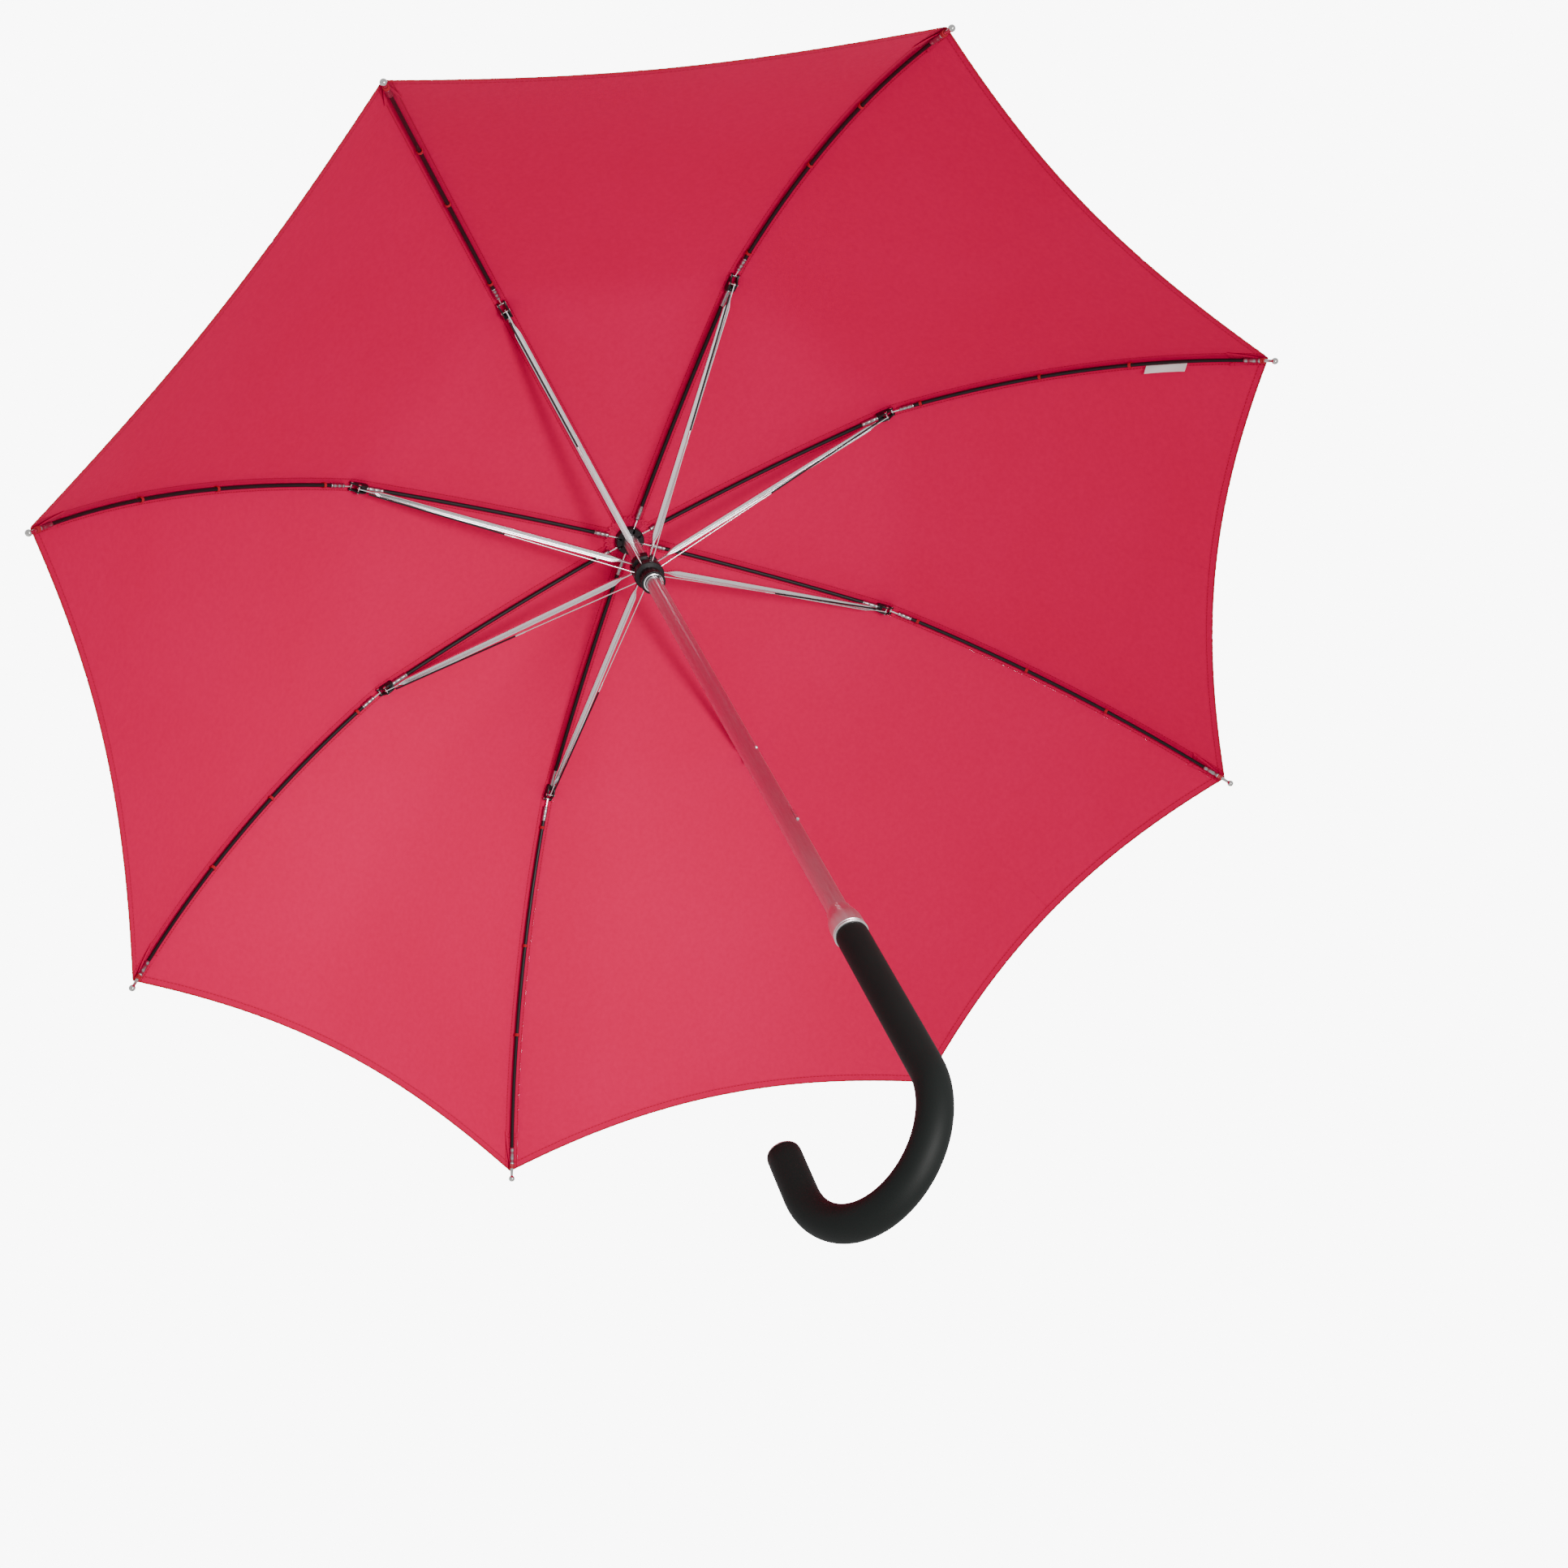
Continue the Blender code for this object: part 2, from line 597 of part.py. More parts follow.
def make_grip():
    """The crook: a straight stretch with the shaft's socket, a half turn towards +X, and a short hook."""
    straight, bend = 4, 16
    points = [(0, 0, COLLAR_Z - GRIP_LENGTH * k / straight) for k in range(straight)]
    for k in range(bend + 1):
        turn = pi * k / bend
        x = CROOK_RADIUS * (1 - cos(turn))
        points.append((x, 0, -COLLAR_Z - CROOK_RADIUS * sin(turn)))
    hook_end = -COLLAR_Z + HOOK_LENGTH
    points.append((2 * CROOK_RADIUS, 0, hook_end))
    tube = wire("grip_bar", points, GRIP_RADIUS, resolution=4)
    mesh = baked(tube)
    smooth(mesh)
    grip = place("grip", mesh, material("grip", BLACK, 0.5))
    depth = COLLAR_Z - SOCKET_DEPTH - GAP
    socket = rod("socket", (0, 0, depth), (0, 0, COLLAR_Z + 0.001), SHAFT_RADIUS + GAP, segments=32)
    boolean(grip, socket, "DIFFERENCE")

    low, steps = hook_end + GAP, 6
    shoulder = low + CAP_HEIGHT - CAP_RISE
    turns = [pi / 2 * k / steps for k in range(steps, -1, -1)]
    dome = [(GRIP_RADIUS * cos(a), shoulder + CAP_RISE * sin(a)) for a in turns]
    profile = [(0, dome[0][1]), *dome[1:], (GRIP_RADIUS, low), (0, low)]
    cap = turned("end_cap", profile, material("end_cap", STEEL, 0.2, 1.0), closed=False)
    cap.location.x = 2 * CROOK_RADIUS


make_shaft()
make_crown()
make_rosette()
make_top()
make_runner()
make_catches()
make_collar()
make_grip()
make_inner_ribs()
make_outer_ribs()
make_stretchers()
make_links()
make_panels()
make_strap()
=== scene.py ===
import json
import math

import bmesh
import bpy
import numpy as np
from mathutils import Matrix, Vector


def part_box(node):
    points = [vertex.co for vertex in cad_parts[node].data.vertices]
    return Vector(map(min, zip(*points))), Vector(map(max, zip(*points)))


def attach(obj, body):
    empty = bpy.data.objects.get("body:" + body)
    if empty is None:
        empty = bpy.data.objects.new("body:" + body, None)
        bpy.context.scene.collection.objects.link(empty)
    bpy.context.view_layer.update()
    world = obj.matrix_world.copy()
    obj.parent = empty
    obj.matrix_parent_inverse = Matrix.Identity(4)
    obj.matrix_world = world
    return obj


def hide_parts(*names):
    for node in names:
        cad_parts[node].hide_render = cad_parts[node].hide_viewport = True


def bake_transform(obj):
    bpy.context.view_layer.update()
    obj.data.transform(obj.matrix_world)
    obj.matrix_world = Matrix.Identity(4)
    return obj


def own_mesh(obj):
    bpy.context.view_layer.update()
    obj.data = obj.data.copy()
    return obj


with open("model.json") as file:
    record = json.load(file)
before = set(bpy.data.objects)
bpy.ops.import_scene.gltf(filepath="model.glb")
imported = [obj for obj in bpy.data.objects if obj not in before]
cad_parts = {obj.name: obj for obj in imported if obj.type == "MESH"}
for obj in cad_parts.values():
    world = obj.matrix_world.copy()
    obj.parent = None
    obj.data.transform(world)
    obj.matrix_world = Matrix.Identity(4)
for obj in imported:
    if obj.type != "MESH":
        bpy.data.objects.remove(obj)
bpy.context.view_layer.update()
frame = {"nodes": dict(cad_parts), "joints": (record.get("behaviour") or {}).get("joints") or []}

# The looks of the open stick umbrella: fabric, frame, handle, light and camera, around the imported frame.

RIBS = 8
HALF = math.pi / RIBS
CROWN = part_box("crown")[1].z + 0.0033  # rosette, camera and the shaft's bump are placed from this height
JOINTS = {joint["name"]: joint for joint in frame["joints"]}


def pivot(name):
    """(radius, z) of a hinge."""
    x, y, z = JOINTS[name]["pos_m"]
    return math.hypot(x, y), z


def azimuth(i):
    x, y, _ = JOINTS[f"rib_knuckle_{i}"]["pos_m"]
    return math.atan2(y, x)


# The ribs' centreline: two arcs, from the crown's pivot to the knuckle and on to the ball.
HINGE, KNUCKLE, FLEX = pivot("canopy_fold"), pivot("rib_knuckle_0"), pivot("rib_flex_0")
ARM_END, RUNNER_PIN, LINK_PIN = pivot("stretcher_pivot_0"), pivot("runner_pivot"), pivot("link_pivot_0")
INNER_TURN, OUTER_TURN = math.radians(5), math.radians(17)


def chord(a, b):
    """Length and downward slope of the line between two (radius, z) points."""
    return math.hypot(b[0] - a[0], b[1] - a[1]), math.atan2(a[1] - b[1], b[0] - a[0])


INNER_CHORD, INNER_SLOPE = chord(HINGE, KNUCKLE)
HALF_CHORD, HALF_SLOPE = chord(KNUCKLE, FLEX)
OUTER_SLOPE = HALF_SLOPE + OUTER_TURN / 2
OUTER_RADIUS = HALF_CHORD / (2 * math.sin(OUTER_TURN / 2))
INNER_LENGTH = INNER_CHORD * INNER_TURN / math.sin(INNER_TURN)
OUTER_LENGTH = 2 * OUTER_TURN * OUTER_RADIUS
FLEX_AT = INNER_LENGTH + OUTER_LENGTH / 2
RIB_END = INNER_LENGTH + OUTER_LENGTH


def rib_point(distance):
    """(radius, z, slope) of the ribs' centreline at a distance from the crown's pivot."""
    if distance <= 0:
        slope = INNER_SLOPE - INNER_TURN
        return HINGE[0] + distance * math.cos(slope), HINGE[1] - distance * math.sin(slope), slope
    if distance <= INNER_LENGTH:
        start, slope, turn = HINGE, INNER_SLOPE, INNER_TURN
        radius, share = INNER_CHORD / (2 * math.sin(INNER_TURN)), distance / INNER_LENGTH
    else:
        start, slope, turn = KNUCKLE, OUTER_SLOPE, OUTER_TURN
        radius, share = OUTER_RADIUS, (distance - INNER_LENGTH) / OUTER_LENGTH
    first = slope - turn
    here = first + 2 * turn * share
    across = start[0] + radius * (math.sin(here) - math.sin(first))
    return across, start[1] + radius * (math.cos(here) - math.cos(first)), here


# Materials ----------------------------------------------------------------------------------------


class Nodes:
    """A short way to wire a material's nodes."""

    def __init__(self, name):
        self.material = bpy.data.materials.new(name)
        self.material.use_nodes = True
        self.tree = self.material.node_tree
        self.shader = self.tree.nodes["Principled BSDF"]

    def add(self, kind, **inputs):
        node = self.tree.nodes.new(kind)
        for key, value in inputs.items():
            self.put(node.inputs[key.replace("_", " ")], value)
        return node

    def put(self, socket, value):
        if isinstance(value, bpy.types.NodeSocket):
            self.tree.links.new(value, socket)
        else:
            socket.default_value = value

    def math(self, operation, a, b=0.0, clamp=False):
        node = self.tree.nodes.new("ShaderNodeMath")
        node.operation = operation
        node.use_clamp = clamp
        self.put(node.inputs[0], a)
        self.put(node.inputs[1], b)
        return node.outputs[0]

    def mix(self, share, a, b):
        node = self.tree.nodes.new("ShaderNodeMix")
        node.data_type = "RGBA"
        self.put(node.inputs["Factor"], share)
        self.put(node.inputs["A"], a)
        self.put(node.inputs["B"], b)
        return node.outputs["Result"]

    def ramp(self, value, low, high):
        """value moved from 0..1 to low..high."""
        node = self.add("ShaderNodeMapRange", Value=value, To_Min=low, To_Max=high)
        return node.outputs["Result"]

    def noise(self, scale, detail=3.0, coords=None):
        node = self.add("ShaderNodeTexNoise", Scale=scale, Detail=detail)
        self.put(node.inputs["Vector"], coords or self.coords())
        return node.outputs["Fac"]

    def coords(self):
        return self.add("ShaderNodeTexCoord").outputs["Object"]

    def uv(self, name):
        node = self.tree.nodes.new("ShaderNodeUVMap")
        node.uv_map = name
        split = self.add("ShaderNodeSeparateXYZ", Vector=node.outputs[0])
        return node.outputs[0], split.outputs[0], split.outputs[1]

    def bump(self, height, distance, strength=1.0, normal=None):
        node = self.add("ShaderNodeBump", Strength=strength, Distance=distance, Height=height)
        if normal:
            self.put(node.inputs["Normal"], normal)
        return node.outputs[0]

    def set(self, **inputs):
        for key, value in inputs.items():
            self.put(self.shader.inputs[key.replace("_", " ")], value)
        return self.material


def waves(n, coordinate, period, power=1.0):
    """0..1 ridges along a coordinate in metres."""
    wave = n.math("SINE", n.math("MULTIPLY", coordinate, 2 * math.pi / period))
    return n.math("POWER", n.math("ABSOLUTE", wave), power)


def between(n, value, middle, half):
    """1 where value is within half of middle."""
    return n.math("LESS_THAN", n.math("ABSOLUTE", n.math("SUBTRACT", value, middle)), half)


WEAVE = 0.0012  # period of the threads
LAP, HEM = 0.0058, 0.007  # widths of the lap beside each rib and of the turned hem
LAP_STITCH, HEM_STITCH = 0.0052, 0.0058  # from each edge to its row of stitches
STITCH, STITCH_HALF = 0.0056, 0.00035  # period of the stitches and half their width
STITCH_RED = (0.36, 0.004, 0.016, 1)


def shade(color, red, others):
    """A colour with its red and its other channels scaled."""
    return color[0] * red, color[1] * others, color[2] * others, 1


def fabric_material(name, color, pale):
    """Woven polyester. Metric UV maps: "cloth" is (along the rib, across it), "edge" (from hem, from rib)."""
    n = Nodes(name)
    _, along, across = n.uv("cloth")
    _, from_hem, from_seam = n.uv("edge")
    warp, weft = waves(n, along, WEAVE), waves(n, across, WEAVE)
    weave = n.math("MULTIPLY", warp, weft)
    mottle = n.noise(9.0, 4.0)
    slub = n.noise(260.0, 2.0)
    tone = n.mix(n.math("MULTIPLY", mottle, 0.55, clamp=True), color, pale)
    tone = n.mix(n.ramp(slub, 0.0, 0.30), tone, shade(color, 0.6, 0.5))
    tone = n.mix(n.ramp(weave, 0.0, 0.12), tone, shade(color, 0.55, 0.4))
    # The lap of the seam along each rib, and the turned hem: doubled cloth, with a bump at its edge and
    # painted shade over it.
    lap = n.math("LESS_THAN", from_seam, LAP)
    hem = n.math("LESS_THAN", from_hem, HEM)
    doubled_and_shaded = n.math("MAXIMUM", lap, hem)
    # Painted shade: the doubled lap beside each rib and the hem are drawn darker.
    tone = n.mix(n.math("MULTIPLY", doubled_and_shaded, 0.16), tone, shade(color, 0.55, 0.55))
    run_along = n.math("GREATER_THAN", waves(n, along, STITCH), 0.45)
    run_across = n.math("GREATER_THAN", waves(n, across, STITCH), 0.45)
    on_lap = n.math("MULTIPLY", between(n, from_seam, LAP_STITCH, STITCH_HALF), run_along)
    on_hem = n.math("MULTIPLY", between(n, from_hem, HEM_STITCH, STITCH_HALF), run_across)
    thread = n.math("MAXIMUM", on_lap, on_hem)
    tone = n.mix(n.math("MULTIPLY", thread, 0.8), tone, STITCH_RED)
    step = n.bump(doubled_and_shaded, 0.0004, 0.6)
    threads = n.bump(n.math("ADD", weave, n.math("MULTIPLY", thread, 3.0)), 0.00012, 0.7, step)
    soft = n.bump(n.noise(16.0, 3.0), 0.004, 0.22, threads)
    n.set(Base_Color=tone, Normal=soft)
    n.set(Roughness=n.ramp(slub, 0.5, 0.68), Sheen_Weight=0.16, Sheen_Roughness=0.3)
    return n.set(Sheen_Tint=(1.0, 0.30, 0.42, 1), Specular_IOR_Level=0.06)


def metal_material(name, color, low, high, scratch=900.0, streak=1.0):
    """Plated or drawn metal: fine streaks along Z, faint stains and soft wear."""
    n = Nodes(name)
    stretched = n.add("ShaderNodeMapping", Vector=n.coords(), Scale=(1, 1, streak)).outputs[0]
    fine = n.noise(scratch, 3.0, stretched)
    stain = n.noise(26.0, 4.0)
    tone = n.mix(n.ramp(stain, 0.0, 0.3), color, (color[0] * 0.72, color[1] * 0.72, color[2] * 0.74, 1))
    n.set(Base_Color=tone, Metallic=1.0, Roughness=n.ramp(n.math("MULTIPLY", fine, stain), low, high))
    return n.set(Normal=n.bump(fine, 0.00004, 0.5))


def plastic_material(
    name, color, low, high, grain=1400.0, depth=0.00005, worn=(0.03, 0.03, 0.032, 1), shine=0.3
):
    """Moulded plastic or rubber: fine grain, smudges and paler rubbed edges."""
    n = Nodes(name)
    smudge, fine = n.noise(38.0, 4.0), n.noise(grain, 2.0)
    edge = n.add("ShaderNodeNewGeometry").outputs["Pointiness"]
    rubbed = n.math("MULTIPLY", n.math("SUBTRACT", edge, 0.53), 6.0, clamp=True)
    tone = n.mix(n.ramp(smudge, 0.0, 0.5), color, tuple(min(1, c * 1.9) for c in color[:3]) + (1,))
    tone = n.mix(n.math("MULTIPLY", rubbed, 0.35), tone, worn)
    n.set(Base_Color=tone, Roughness=n.ramp(smudge, low, high), Specular_IOR_Level=shine)
    return n.set(Normal=n.bump(fine, depth, 0.6))


RED = (0.68, 0.001, 0.075, 1)
FABRIC = fabric_material("canopy_fabric", RED, (0.76, 0.005, 0.11, 1))
ROSETTE = fabric_material("rosette_fabric", (0.72, 0.004, 0.085, 1), (0.80, 0.012, 0.13, 1))
STRAP = fabric_material("strap_fabric", (0.58, 0.001, 0.058, 1), (0.66, 0.003, 0.085, 1))
THREAD = plastic_material(
    "red_thread", (0.34, 0.004, 0.016, 1), 0.6, 0.8, grain=3000.0, depth=0.0001, worn=(0.5, 0.02, 0.04, 1)
)
LABEL = plastic_material(
    "label_tape", (0.80, 0.80, 0.78, 1), 0.45, 0.6, grain=2400.0, depth=0.00006, worn=(0.9, 0.9, 0.88, 1)
)
STEEL = metal_material("plated_steel", (0.94, 0.94, 0.96, 1), 0.20, 0.40)
SHAFT = metal_material("satin_shaft", (0.72, 0.72, 0.74, 1), 0.26, 0.46, 1500.0, 0.06)
DULL = metal_material("crimp_steel", (0.40, 0.40, 0.41, 1), 0.24, 0.46)
NICKEL = metal_material("polished_nickel", (0.66, 0.65, 0.63, 1), 0.14, 0.3)
BLACK = plastic_material("black_fibreglass", (0.006, 0.006, 0.007, 1), 0.34, 0.5)
HUB = plastic_material("hub_plastic", (0.008, 0.008, 0.009, 1), 0.28, 0.44)
GRIP = plastic_material(
    "soft_grip", (0.005, 0.0065, 0.006, 1), 0.5, 0.66, grain=1800.0, depth=0.00007,
    worn=(0.012, 0.013, 0.013, 1), shine=0.16,
)
CAP = metal_material("silver_cap", (0.62, 0.62, 0.63, 1), 0.3, 0.5)
FERRULE = plastic_material("ferrule_plastic", (0.011, 0.011, 0.012, 1), 0.2, 0.36, 900.0, 0.00003)


def collar_material():
    """Turned aluminium: fine rings round Z."""
    n = Nodes("turned_collar")
    z = n.add("ShaderNodeSeparateXYZ", Vector=n.coords()).outputs[2]
    rings = n.math("ADD", waves(n, z, 0.0009), n.math("MULTIPLY", n.noise(900.0), 0.5))
    stain = n.noise(60.0, 4.0)
    tone = n.mix(stain, (0.80, 0.79, 0.79, 1), (0.66, 0.66, 0.67, 1))
    n.set(Base_Color=tone, Metallic=1.0, Roughness=n.ramp(stain, 0.22, 0.42))
    return n.set(Normal=n.bump(rings, 0.00005, 0.5))


COLLAR = collar_material()


# Mesh helpers -------------------------------------------------------------------------------------


def new_object(name, mesh, finish):
    obj = bpy.data.objects.new(name, mesh)
    bpy.context.scene.collection.objects.link(obj)
    mesh.materials.clear()
    mesh.materials.append(finish)
    return obj


def mesh_from(name, verts, faces, finish, matrix=None, smooth=40):
    mesh = bpy.data.meshes.new(name)
    mesh.from_pydata([tuple(v) for v in verts], [], faces)
    shape = bmesh.new()
    shape.from_mesh(mesh)
    bmesh.ops.remove_doubles(shape, verts=shape.verts, dist=1e-7)
    bmesh.ops.recalc_face_normals(shape, faces=shape.faces)
    shape.to_mesh(mesh)
    shape.free()
    mesh.shade_smooth()
    mesh.set_sharp_from_angle(angle=math.radians(smooth))
    if matrix:
        mesh.transform(matrix)
    return new_object(name, mesh, finish)


def lathe(name, profile, finish, steps=64, shape=None, matrix=None, loop=True):
    """A profile of (radius, z) points turned about Z. shape(angle, radius, z) may change the radius."""
    verts, faces = [], []
    for k in range(steps):
        angle = 2 * math.pi * k / steps
        for radius, z in profile:
            r = shape(angle, radius, z) if shape else radius
            verts.append((r * math.cos(angle), r * math.sin(angle), z))
    count = len(profile)
    for k in range(steps):
        a, b = k * count, (k + 1) % steps * count
        for j in range(count if loop else count - 1):
            c = (j + 1) % count
            faces.append((a + j, b + j, b + c, a + c))
    return mesh_from(name, verts, faces, finish, matrix)


def tube(name, points, radii, finish, sides=12, matrix=None, flatten=1.0):
    """A closed round bar through points, with a radius at each."""
    points = [Vector(p) for p in points]
    verts, faces = [], []
    side = Vector((0, 1, 0))
    for k, point in enumerate(points):
        along = (points[min(k + 1, len(points) - 1)] - points[max(k - 1, 0)]).normalized()
        if abs(along.dot(side)) > 0.9:
            side = Vector((1, 0, 0))
        up = along.cross(side).normalized()
        across = up.cross(along).normalized()
        for j in range(sides):
            a = 2 * math.pi * j / sides
            verts.append(point + radii[k] * (across * math.cos(a) * flatten + up * math.sin(a)))
    for k in range(len(points) - 1):
        for j in range(sides):
            c = (j + 1) % sides
            faces.append((k * sides + j, k * sides + c, (k + 1) * sides + c, (k + 1) * sides + j))
    faces.append(tuple(range(sides)))
    faces.append(tuple(range((len(points) - 1) * sides, len(points) * sides)))
    return mesh_from(name, verts, faces, finish, matrix)


def block(name, low, high, finish, matrix=None, bevel=0.0003):
    """A box with rounded edges."""
    mesh = bpy.data.meshes.new(name)
    shape = bmesh.new()
    low, high = Vector(low), Vector(high)
    scale = Matrix.Diagonal((*(high - low), 1))
    bmesh.ops.create_cube(shape, size=1, matrix=Matrix.Translation((low + high) / 2) @ scale)
    bmesh.ops.bevel(shape, geom=shape.edges[:], offset=bevel, segments=3, affect="EDGES", profile=0.5)
    shape.to_mesh(mesh)
    shape.free()
    mesh.shade_smooth()
    mesh.set_sharp_from_angle(angle=math.radians(45))
    if matrix:
        mesh.transform(matrix)
    return new_object(name, mesh, finish)


def turn(i):
    return Matrix.Rotation(azimuth(i), 4, "Z")


def local(point, slope=0.0, i=None):
    """The matrix that puts a piece drawn about the origin, along +X, on a (radius, z) point, sloping down."""
    placed = Matrix.Translation((point[0], 0, point[1])) @ Matrix.Rotation(slope, 4, "Y")
    return placed if i is None else turn(i) @ placed


def ride(obj, body, replaces=()):
    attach(obj, body)
    if replaces:
        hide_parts(*replaces)
    return obj


# Canopy -------------------------------------------------------------------------------------------

LIFT = 0.004  # from the ribs' centreline up to the middle of the fabric
CLOTH = 0.0002  # half the fabric's drawn thickness
CLAMP = 0.0078  # radius where the fabric starts, round the shaft
HEM_MARGIN, SCALLOP = 0.008, 0.028  # from the ribs' ends back to the hem, and its depth between ribs
STRIP = 0.006  # half the width of the strip over a rib, which isn't squashed
STRIP_COLUMNS = (-1, -0.5, 0, 0.5, 1)
COLLAR_END = 0.030  # radius where the fabric round the crown ends
SAG = 0.004  # how far the fabric hangs in the middle of a panel
KNUCKLE_REACH, FLEX_REACH = 0.012, 0.03  # half the lengths about the knuckle and the flex point
LEAST_FLAT = 0.0101  # the least flat size of a sheet


def hem_at(v):
    return RIB_END - HEM_MARGIN - SCALLOP * (1 - (1 - abs(v)) ** 2)


def lifted(distance, lift=LIFT):
    radius, z, slope = rib_point(distance)
    return radius + lift * math.sin(slope), z + lift * math.cos(slope)


def cloth_point(distance, v):
    """A point of the canopy in rib 0's frame. v is -1 and 1 at the middles of the panels beside the rib."""
    radius, z = lifted(distance)
    x = radius * (1 - abs(v) * math.sin(HALF) ** 2)
    y = radius * v * math.cos(HALF) * math.sin(HALF)
    share = min(max(distance / RIB_END, 0), 1)
    fall = SAG * math.sin(math.pi * share) * (1 - (1 - abs(v)) ** 2)
    slope = rib_point(distance)[2]
    return np.array([x - fall * math.sin(slope), y, z - fall * math.cos(slope)])


def cloth_normal(distance, v):
    reach, side = 0.022, 0.03
    sign = 1 if v >= 0 else -1
    inner = max(abs(v) - side, 0)
    outer = min(inner + side, 1)
    along = cloth_point(distance + reach, v) - cloth_point(distance - reach, v)
    across = cloth_point(distance, sign * outer) - cloth_point(distance, sign * inner)
    normal = np.cross(along, across * sign)
    if v == 0:
        normal[1] = 0
    return normal / np.linalg.norm(normal)


def v_of(distance, y):
    return y / (lifted(distance)[0] * math.cos(HALF) * math.sin(HALF))


def shell(rows, columns):
    """Faces of a closed thin shell: a grid of rows x columns points, then the same grid for its back."""
    count = rows * columns
    faces = []
    for r in range(rows - 1):
        for c in range(columns - 1):
            a, b = r * columns + c, (r + 1) * columns + c
            faces.append((a, b, b + 1, a + 1))
            faces.append((count + a, count + a + 1, count + b + 1, count + b))
    rim = [r * columns for r in range(rows)]
    rim += [(rows - 1) * columns + c for c in range(1, columns)]
    rim += [r * columns + columns - 1 for r in range(rows - 2, -1, -1)]
    rim += [c for c in range(columns - 2, 0, -1)]
    for a, b in zip(rim, rim[1:] + rim[:1]):
        faces.append((b, a, count + a, count + b))
    return faces


def lengths(shaped):
    """The greatest length of a grid of points, across and along."""
    across = np.linalg.norm(np.diff(shaped, axis=1), axis=2).sum(axis=1).max()
    along = np.linalg.norm(np.diff(shaped, axis=0), axis=2).sum(axis=0).max()
    return float(across), float(along)


def flat_and_area(shaped):
    """The flat size and the area of a sheet."""
    flat = tuple(max(length, LEAST_FLAT) for length in lengths(shaped))
    quads = np.cross(shaped[1:, 1:] - shaped[:-1, :-1], shaped[1:, :-1] - shaped[:-1, 1:])
    area = float(np.linalg.norm(quads, axis=2).sum() / 2)
    return flat, min(area, flat[0] * flat[1])


def cloth_piece(name, i, grid):
    """A closed thin shell over a grid of (distance, v) pairs, with even shading across its borders."""
    rows, columns = len(grid), len(grid[0])
    spots = [spot for row in grid for spot in row]
    points = np.array([cloth_point(*spot) for spot in spots])
    normals = np.array([cloth_normal(*spot) for spot in spots])
    layers = np.concatenate([points + normals * CLOTH, points - normals * CLOTH])
    count = rows * columns
    mesh = bpy.data.meshes.new(name)
    mesh.from_pydata([tuple(p) for p in layers], [], shell(rows, columns))
    cloth, edge = mesh.uv_layers.new(name="cloth"), mesh.uv_layers.new(name="edge")
    for loop in mesh.loops:
        distance, v = spots[loop.vertex_index % count]
        y = points[loop.vertex_index % count][1]
        cloth.data[loop.index].uv = (distance, y)
        edge.data[loop.index].uv = (hem_at(v) - distance, abs(y))
    mesh.shade_smooth()
    if mesh.polygons[0].normal.z < 0:
        mesh.flip_normals()
    mesh.normals_split_custom_set_from_vertices([tuple(x) for x in np.concatenate([normals, -normals])])
    mesh.transform(turn(i))
    flat, area = flat_and_area(points.reshape(rows, columns, 3))
    return new_object(name, mesh, FABRIC), flat, area


def linear(start, end, count):
    return [start + (end - start) * k / count for k in range(count + 1)]


def strip_grid(start, end, count):
    return [[(d, v_of(d, STRIP * c)) for c in STRIP_COLUMNS] for d in linear(start, end, count)]


def out_from(distance, share):
    """v at a share of the way from a strip's edge to the middle of the panel."""
    near = v_of(distance, STRIP)
    return near + (1 - near) * share


def wedge_grid(start, end, rows, columns, side, to_hem):
    """A half panel between a strip's edge and the middle of the panel, up to a distance or to the hem."""
    grid = []
    for row in range(rows + 1):
        line = []
        for c in range(columns + 1):
            share = c / columns
            far = hem_at(out_from(end, share)) if to_hem else end
            d = start + (far - start) * row / rows
            line.append((d, side * out_from(d, share)))
        grid.append(line)
    return grid


def world_point(i, distance, v=0.0):
    return turn(i) @ Vector(cloth_point(distance, v))


START_AT = COLLAR_END - HINGE[0]
HEM_AT_RIB = hem_at(v_of(RIB_END - HEM_MARGIN, STRIP))


def bend_at_crown(piece, i):
    margin = 0.0015
    start, end = world_point(i, margin), world_point(i, START_AT - 0.002)
    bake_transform(piece)


def bend_at_flex(piece, i):
    start, end = world_point(i, FLEX_AT - FLEX_REACH), world_point(i, FLEX_AT + FLEX_REACH)
    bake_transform(piece)


def fold(piece, body, i, side, start, end):
    """Hangs a half panel on its rib's body, with a mesh of its own."""
    (r0, z0), (r1, z1) = lifted(start), lifted(end)
    slope = math.atan2(z0 - z1, r1 - r0)
    up = Vector((math.sin(slope), 0, math.cos(slope)))
    axis = Vector((0, side, 0)) - up * math.tan(HALF) * math.sin(slope)
    middle = (start + end) / 2
    anchor = world_point(i, middle, side * v_of(middle, STRIP))
    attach(piece, body)
    turn(i) @ axis
    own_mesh(piece)


def beaded(count, radius, swell):
    """Radii that make a thread look stitched: every second point is thicker."""
    return [radius + swell * (k % 2) for k in range(count)]


def hem_thread(name, i, vs):
    """The rolled and overlocked edge along part of a hem."""
    inset = 0.0004
    points = [cloth_point(hem_at(v) - inset, v) for v in vs]
    return tube(name, points, beaded(len(points), 0.00055, 0.00012), THREAD, 6, turn(i))


def spread(low, high, step, side):
    count = max(4, int((high - low) / step))
    return [side * v for v in linear(low, high, count)]


